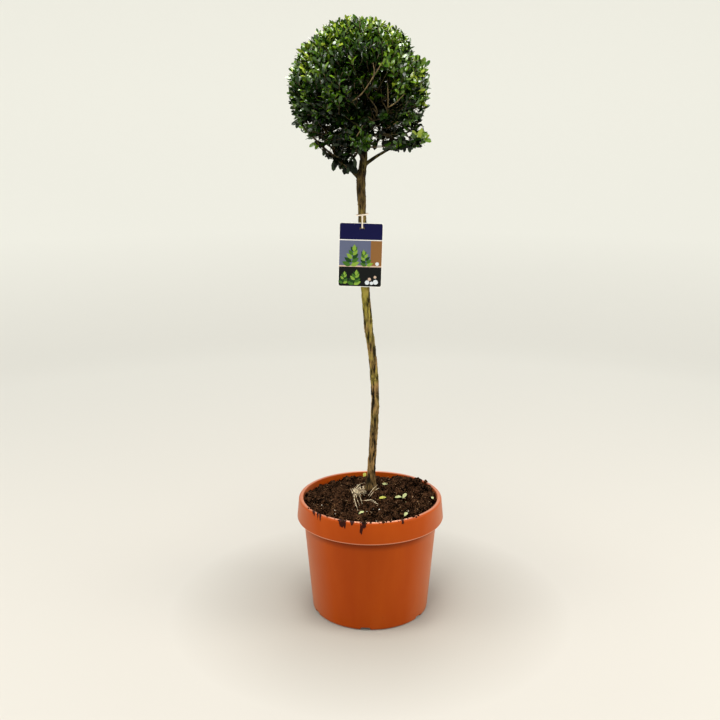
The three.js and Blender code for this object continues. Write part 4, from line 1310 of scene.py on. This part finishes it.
def grow_spray(name, seed):
    dice = np.random.default_rng(seed)
    spray, path = SPRAYS[name], spray_paths[name]

    def allowed(tip):
        away = hypot(tip[0] - SPRAY_APEX[0], tip[1] - SPRAY_APEX[1])
        level = max(spray.low, underside(tip)) < tip[2] < spray.high + SPRAY_WOOD.leaf_above
        return level and SPRAY_WOOD.hole < away < spray.reach + SPRAY_WOOD.leaf_past

    for i in range(SPRAY_WOOD.shoots):
        along = i / (SPRAY_WOOD.shoots - 1)
        root = path.at(mix(*SPRAY_WOOD.roots, along))
        end = shoot_end(spray, i, SPRAY_WOOD.shoots, dice)
        near = norm(end - root) < SPRAY_WOOD.shortest
        if near or dice.random() < SPRAY_WOOD.bare or bare_sky(end, dice):
            continue
        shoot = arc(root, path.heading(along) + UP * SPRAY_WOOD.rise, end)
        if not crosses_gap(shoot):
            add_strand(twigs, shoot, *SPRAY_WOOD.thick)
            dress(shoot, SPRAY_WOOD.leaves, SPRAY_WOOD.leafed, dice, allowed)


def make_leaves():
    """Each tint's leaves, joined into pieces that aren't too large to handle."""
    names = ["foliage_ball", *[f"foliage_{spray}" for spray in SPRAYS]]
    for name, made in leaves.items():
        tint, shine = LEAF_LOOKS[name]
        paint = plain(f"leaf_{name}", 0.19, shine, tint)
        for part, first in enumerate(range(0, len(made), LEAVES_PER_PIECE)):
            batch = Batch()
            for form, vertices in made[first : first + LEAVES_PER_PIECE]:
                batch.add(vertices, LEAF_BLANKS[form][1])
            settle(build_blades(batch, f"leaves_{name}_{part}", paint), "foliage", *names)


def make_twigs():
    bark = two_tone("twig_bark")
    bark.bump(bark.noise(900, 3), 0.15)
    settle(twigs.build("twigs", bark), "bark")


def make_fallen_leaves():
    paints = [two_tone(name) for name in ("fallen_yellow", "fallen_pale")]
    batch = Batch()
    blank, faces = leaf_blank(*FALLEN_FORM)
    for (x, y), length, degrees, tilt, pale in FALLEN:
        axes = blade_axes(unit(compass(radians(degrees), tilt)), FALLEN_FACING)
        under = [(x + a * length / 2, y + b * length / 3) for a in (-1, 0, 1) for b in (-1, 0, 1)]
        rest = max(soil_height(*spot) for spot in under) + FALLEN_RISE
        place = vec(x, y, rest) - axes[0] * length / 2
        batch.add(place + (blank * length) @ axes, faces, int(pale))
    settle(build_blades(batch, "fallen_leaves", *paints), "foliage")


grow_ball()
for seed, name in enumerate(SPRAYS, 30):
    grow_spray(name, seed)
for limb in edge_limbs:
    dress(limb, 14, 60, rng, lambda tip: tip[0] > CROWN.left)
for *place, length, tint in STRAYS:
    add_leaf(tint, vec(place[:3]), vec(place[3:]), vec(0.1, -1, 0.3), length, rng)
make_leaves()
make_twigs()
make_fallen_leaves()

# Label

LABEL = Sizes(
    width=78, height=115, thickness=0.8, corner=4, slot=(9, 3.2), slot_drop=9, left=-55.9, top=730.5,
    swing=-1.6, border=1.0, band=30, ink=0.07, sunk=0.02,
)
STRAP = Sizes(
    height=744, band=2.6, slant=1.4, thickness=1.2, play=3.2, seat=0.45, hook_depth=2.6, hook_lift=4,
    hook_play=0.6, sides=72, steps=60,
)
PRINT_TINTS = {
    "ink_navy": (14, 14, 60), "ink_slate": (92, 98, 122), "ink_dark": (18, 20, 20),
    "ink_brown": (132, 92, 52), "ink_sand": (196, 170, 150), "ink_leaf_dark": (30, 62, 26),
    "ink_leaf_mid": (62, 102, 36), "ink_leaf_light": (124, 156, 58), "ink_pale": (206, 212, 216),
}
# Foot, rise, lean and leaf length of each printed sprig, and middle and size of each pebble.
SPRIGS = [(22, 38, 42, 5, 17), (50, 38, 32, -5, 13), (28, 4, 30, 4, 14), (9, 6, 24, 2, 10)]
PAIRS = 5
PICTURE = Sizes(below_band=1.6, post=(20, 6), ground=37, line=(36, 38.4), soft=0.2, pale_from=3.1)
PEBBLES = [(52, 8, 4.2), (60, 7, 3.2), (56, 14, 3.0), (67, 9, 4.6), (66, 18, 2.6), (69, 42, 3.4)]

strap_centre = stem_path.at_height(STRAP.height)
strap_centre[1] -= STRAP.play - STRAP.seat
strap_inner = plain_radius(STRAP.height) + STRAP.play
strap_outer = strap_inner + STRAP.thickness
card_back = strap_centre[1] - strap_outer - STRAP.hook_depth
slot_from_left = strap_centre[0] - LABEL.left


def on_card(u, v, depth):
    """A place from the card's lower left corner, in front of its back face, once it has swung."""
    swing = radians(LABEL.swing)
    across, up = u - slot_from_left, v - (LABEL.height - LABEL.slot_drop)
    return (
        strap_centre[0] + across * cos(swing) - up * sin(swing),
        card_back - depth,
        LABEL.top - LABEL.slot_drop + across * sin(swing) + up * cos(swing),
    )


def plate(outline, low, high):
    """A flat closed plate on the card, from its outline and two depths."""
    vertices = [on_card(u, v, depth) for depth in (low, high) for u, v in outline]
    return vertices, capped(2, len(outline))


def rounded(left, low, right, high, top_corner, low_corner):
    """A rectangle with its own rounding at the top and at the bottom."""
    outline = []
    for x, z, size, first in (
        (right, low, low_corner, -90), (right, high, top_corner, 0), (left, high, top_corner, 90),
        (left, low, low_corner, 180),
    ):
        inward = (x + (size if x == left else -size), z + (size if z == low else -size))
        outline += corner(inward, size, first, first + 90)
    return outline


def printed_leaf(u, v, length, degrees):
    """A leaf's outline on the card, from its foot."""
    along, aside = cos(radians(degrees)), sin(radians(degrees))
    rim = [(s, 0.25 * sin(pi * s**0.85)) for s in np.linspace(0, 1, 9)]
    rim += [(s, -w) for s, w in reversed(rim[1:-1])]
    return [(u + length * (s * along - w * aside), v + length * (s * aside + w * along)) for s, w in rim]


def leaf_picture():
    """Generic sprigs of leaves and pebbles over plain fields, as (tint, layer, outline)."""
    edge, right = LABEL.border, LABEL.width - LABEL.border
    top = LABEL.height - LABEL.band - PICTURE.below_band
    post, foot = PICTURE.post
    low_corner = LABEL.corner - edge
    shapes = [
        ("ink_slate", 1, rounded(edge, edge, right, top, PICTURE.soft, low_corner)),
        ("ink_brown", 2, rounded(right - post, edge + foot, right, top, PICTURE.soft, PICTURE.soft)),
        ("ink_dark", 3, rounded(edge, edge, right, PICTURE.ground, PICTURE.soft, low_corner)),
        ("ink_sand", 4, rounded(edge, PICTURE.line[0], right, PICTURE.line[1], PICTURE.soft, PICTURE.soft)),
    ]
    # Stems rise from the line and the foot, each with pairs of leaves that shorten towards its tip.
    tints = ("ink_leaf_light", "ink_leaf_mid", "ink_leaf_dark")
    for foot_u, foot_v, rise, lean, size in SPRIGS:
        for pair in range(PAIRS):
            share = pair / (PAIRS - 1)
            u, v, length = foot_u + lean * share, foot_v + (rise - size) * share, size * mix(1, 0.66, share)
            for side in (-1, 1):
                leaf = printed_leaf(u, v, length, 90 + side * mix(66, 32, share))
                shapes.append((tints[(pair + (side > 0)) % 3], 5 + pair, leaf))
        tip = printed_leaf(foot_u + lean, foot_v + rise - size, size * 0.8, 90 - lean)
        shapes.append((tints[0], 10, tip))
    for u, v, size in PEBBLES:
        tint = "ink_sand" if size < PICTURE.pale_from else "ink_pale"
        shapes.append((tint, 10, corner((u, v), size, 0, 330)))
    return shapes


def slot_cutter():
    half_wide, half_high = LABEL.slot[0] / 2, LABEL.slot[1] / 2
    u, v = slot_from_left, LABEL.height - LABEL.slot_drop
    outline = rounded(u - half_wide, v - half_high, u + half_wide, v + half_high, 0.9, 0.9)
    return piece("slot_cutter", *plate(outline, -3, 4), [])


def make_label():
    width, height, edge, face = LABEL.width, LABEL.height, LABEL.border, LABEL.thickness
    white = plain("card_white", 0.35, 0.1, (236, 234, 228))
    paints = [plain(name, 0.3, 0.1, tint) for name, tint in PRINT_TINTS.items()]
    card = rounded(0, 0, width, height, LABEL.corner, LABEL.corner)
    band = rounded(edge, height - LABEL.band, width - edge, height - edge, LABEL.corner - edge, 0.2)

    def slotted(name, outline, low, high, paint, *nodes):
        made = piece(name, *plate(outline, low, high), [paint], flat=True)
        cut(made, slot_cutter())
        settle(made, "label", *nodes)

    slotted("label_board", card, 0, face, white, "label_card")
    slotted("label_band", band, face - LABEL.sunk, face + LABEL.ink, paints[0])
    batch = Batch()
    for tint, layer, outline in leaf_picture():
        shape = plate(outline, face - LABEL.sunk, face + LABEL.ink * layer / 3)
        batch.add(*shape, list(PRINT_TINTS).index(tint))
    settle(batch.build("label_picture", *paints, flat=True), "label")


def soft_rectangle(left, low, right, high, soft):
    """A rectangle with its corners cut off."""
    rise = soft if high > low else -soft
    return [
        (left, low + rise), (left + soft, low), (right - soft, low), (right, low + rise),
        (right, high - rise), (right - soft, high), (left + soft, high), (left, high - rise),
    ]


def ribbon(route, wide, thick):
    """A closed strip with softened edges along a route in the plane square to X."""
    path = Path(route, 12)
    section = soft_rectangle(-wide / 2, -thick / 2, wide / 2, thick / 2, thick * 0.3)
    across = vec(1, 0, 0)
    vertices = []
    for share in np.arange(STRAP.steps + 1) / STRAP.steps:
        normal = np.cross(path.heading(share), across)
        vertices += [path.at(share) + across * a + normal * b for a, b in section]
    return vertices, capped(STRAP.steps + 1, len(section))


def make_strap():
    """A soft plastic loop round the stem, whose tongue hooks through the card's slot."""
    band, thick = STRAP.band, STRAP.thickness
    profile = soft_rectangle(strap_inner, band / 2, strap_outer, -band / 2, thick * 0.35)
    ring = [
        strap_centre + vec(r * cos(turn), r * sin(turn), z + STRAP.slant * cos(turn))
        for turn in turns_of(STRAP.sides)
        for r, z in profile
    ]
    batch = Batch()
    batch.add(ring, grid(STRAP.sides, len(profile), closed=True))
    x, ring_y, ring_z = strap_centre[0], strap_centre[1] - strap_outer, strap_centre[2]
    front = card_back - LABEL.thickness - STRAP.hook_play - thick / 2
    behind = card_back + STRAP.hook_play + thick / 2
    slot_z = LABEL.top - LABEL.slot_drop
    route = [
        (ring_y + thick / 2, ring_z + 1), (mix(ring_y, front, 0.6), ring_z - 1), (front, ring_z - 5),
        (front, slot_z + 3), (front + 0.4, slot_z + 0.2), ((front + behind) / 2, slot_z - 0.2),
        (behind - 0.2, slot_z + 0.4), (behind, slot_z + STRAP.hook_lift),
    ]
    batch.add(*ribbon([(x, y, z) for y, z in route], band, thick))
    strap = plain("strap_plastic", 0.35, 0.4, (228, 214, 196))
    settle(batch.build("label_loop", strap), "strap", "label_strap")


make_label()
make_strap()
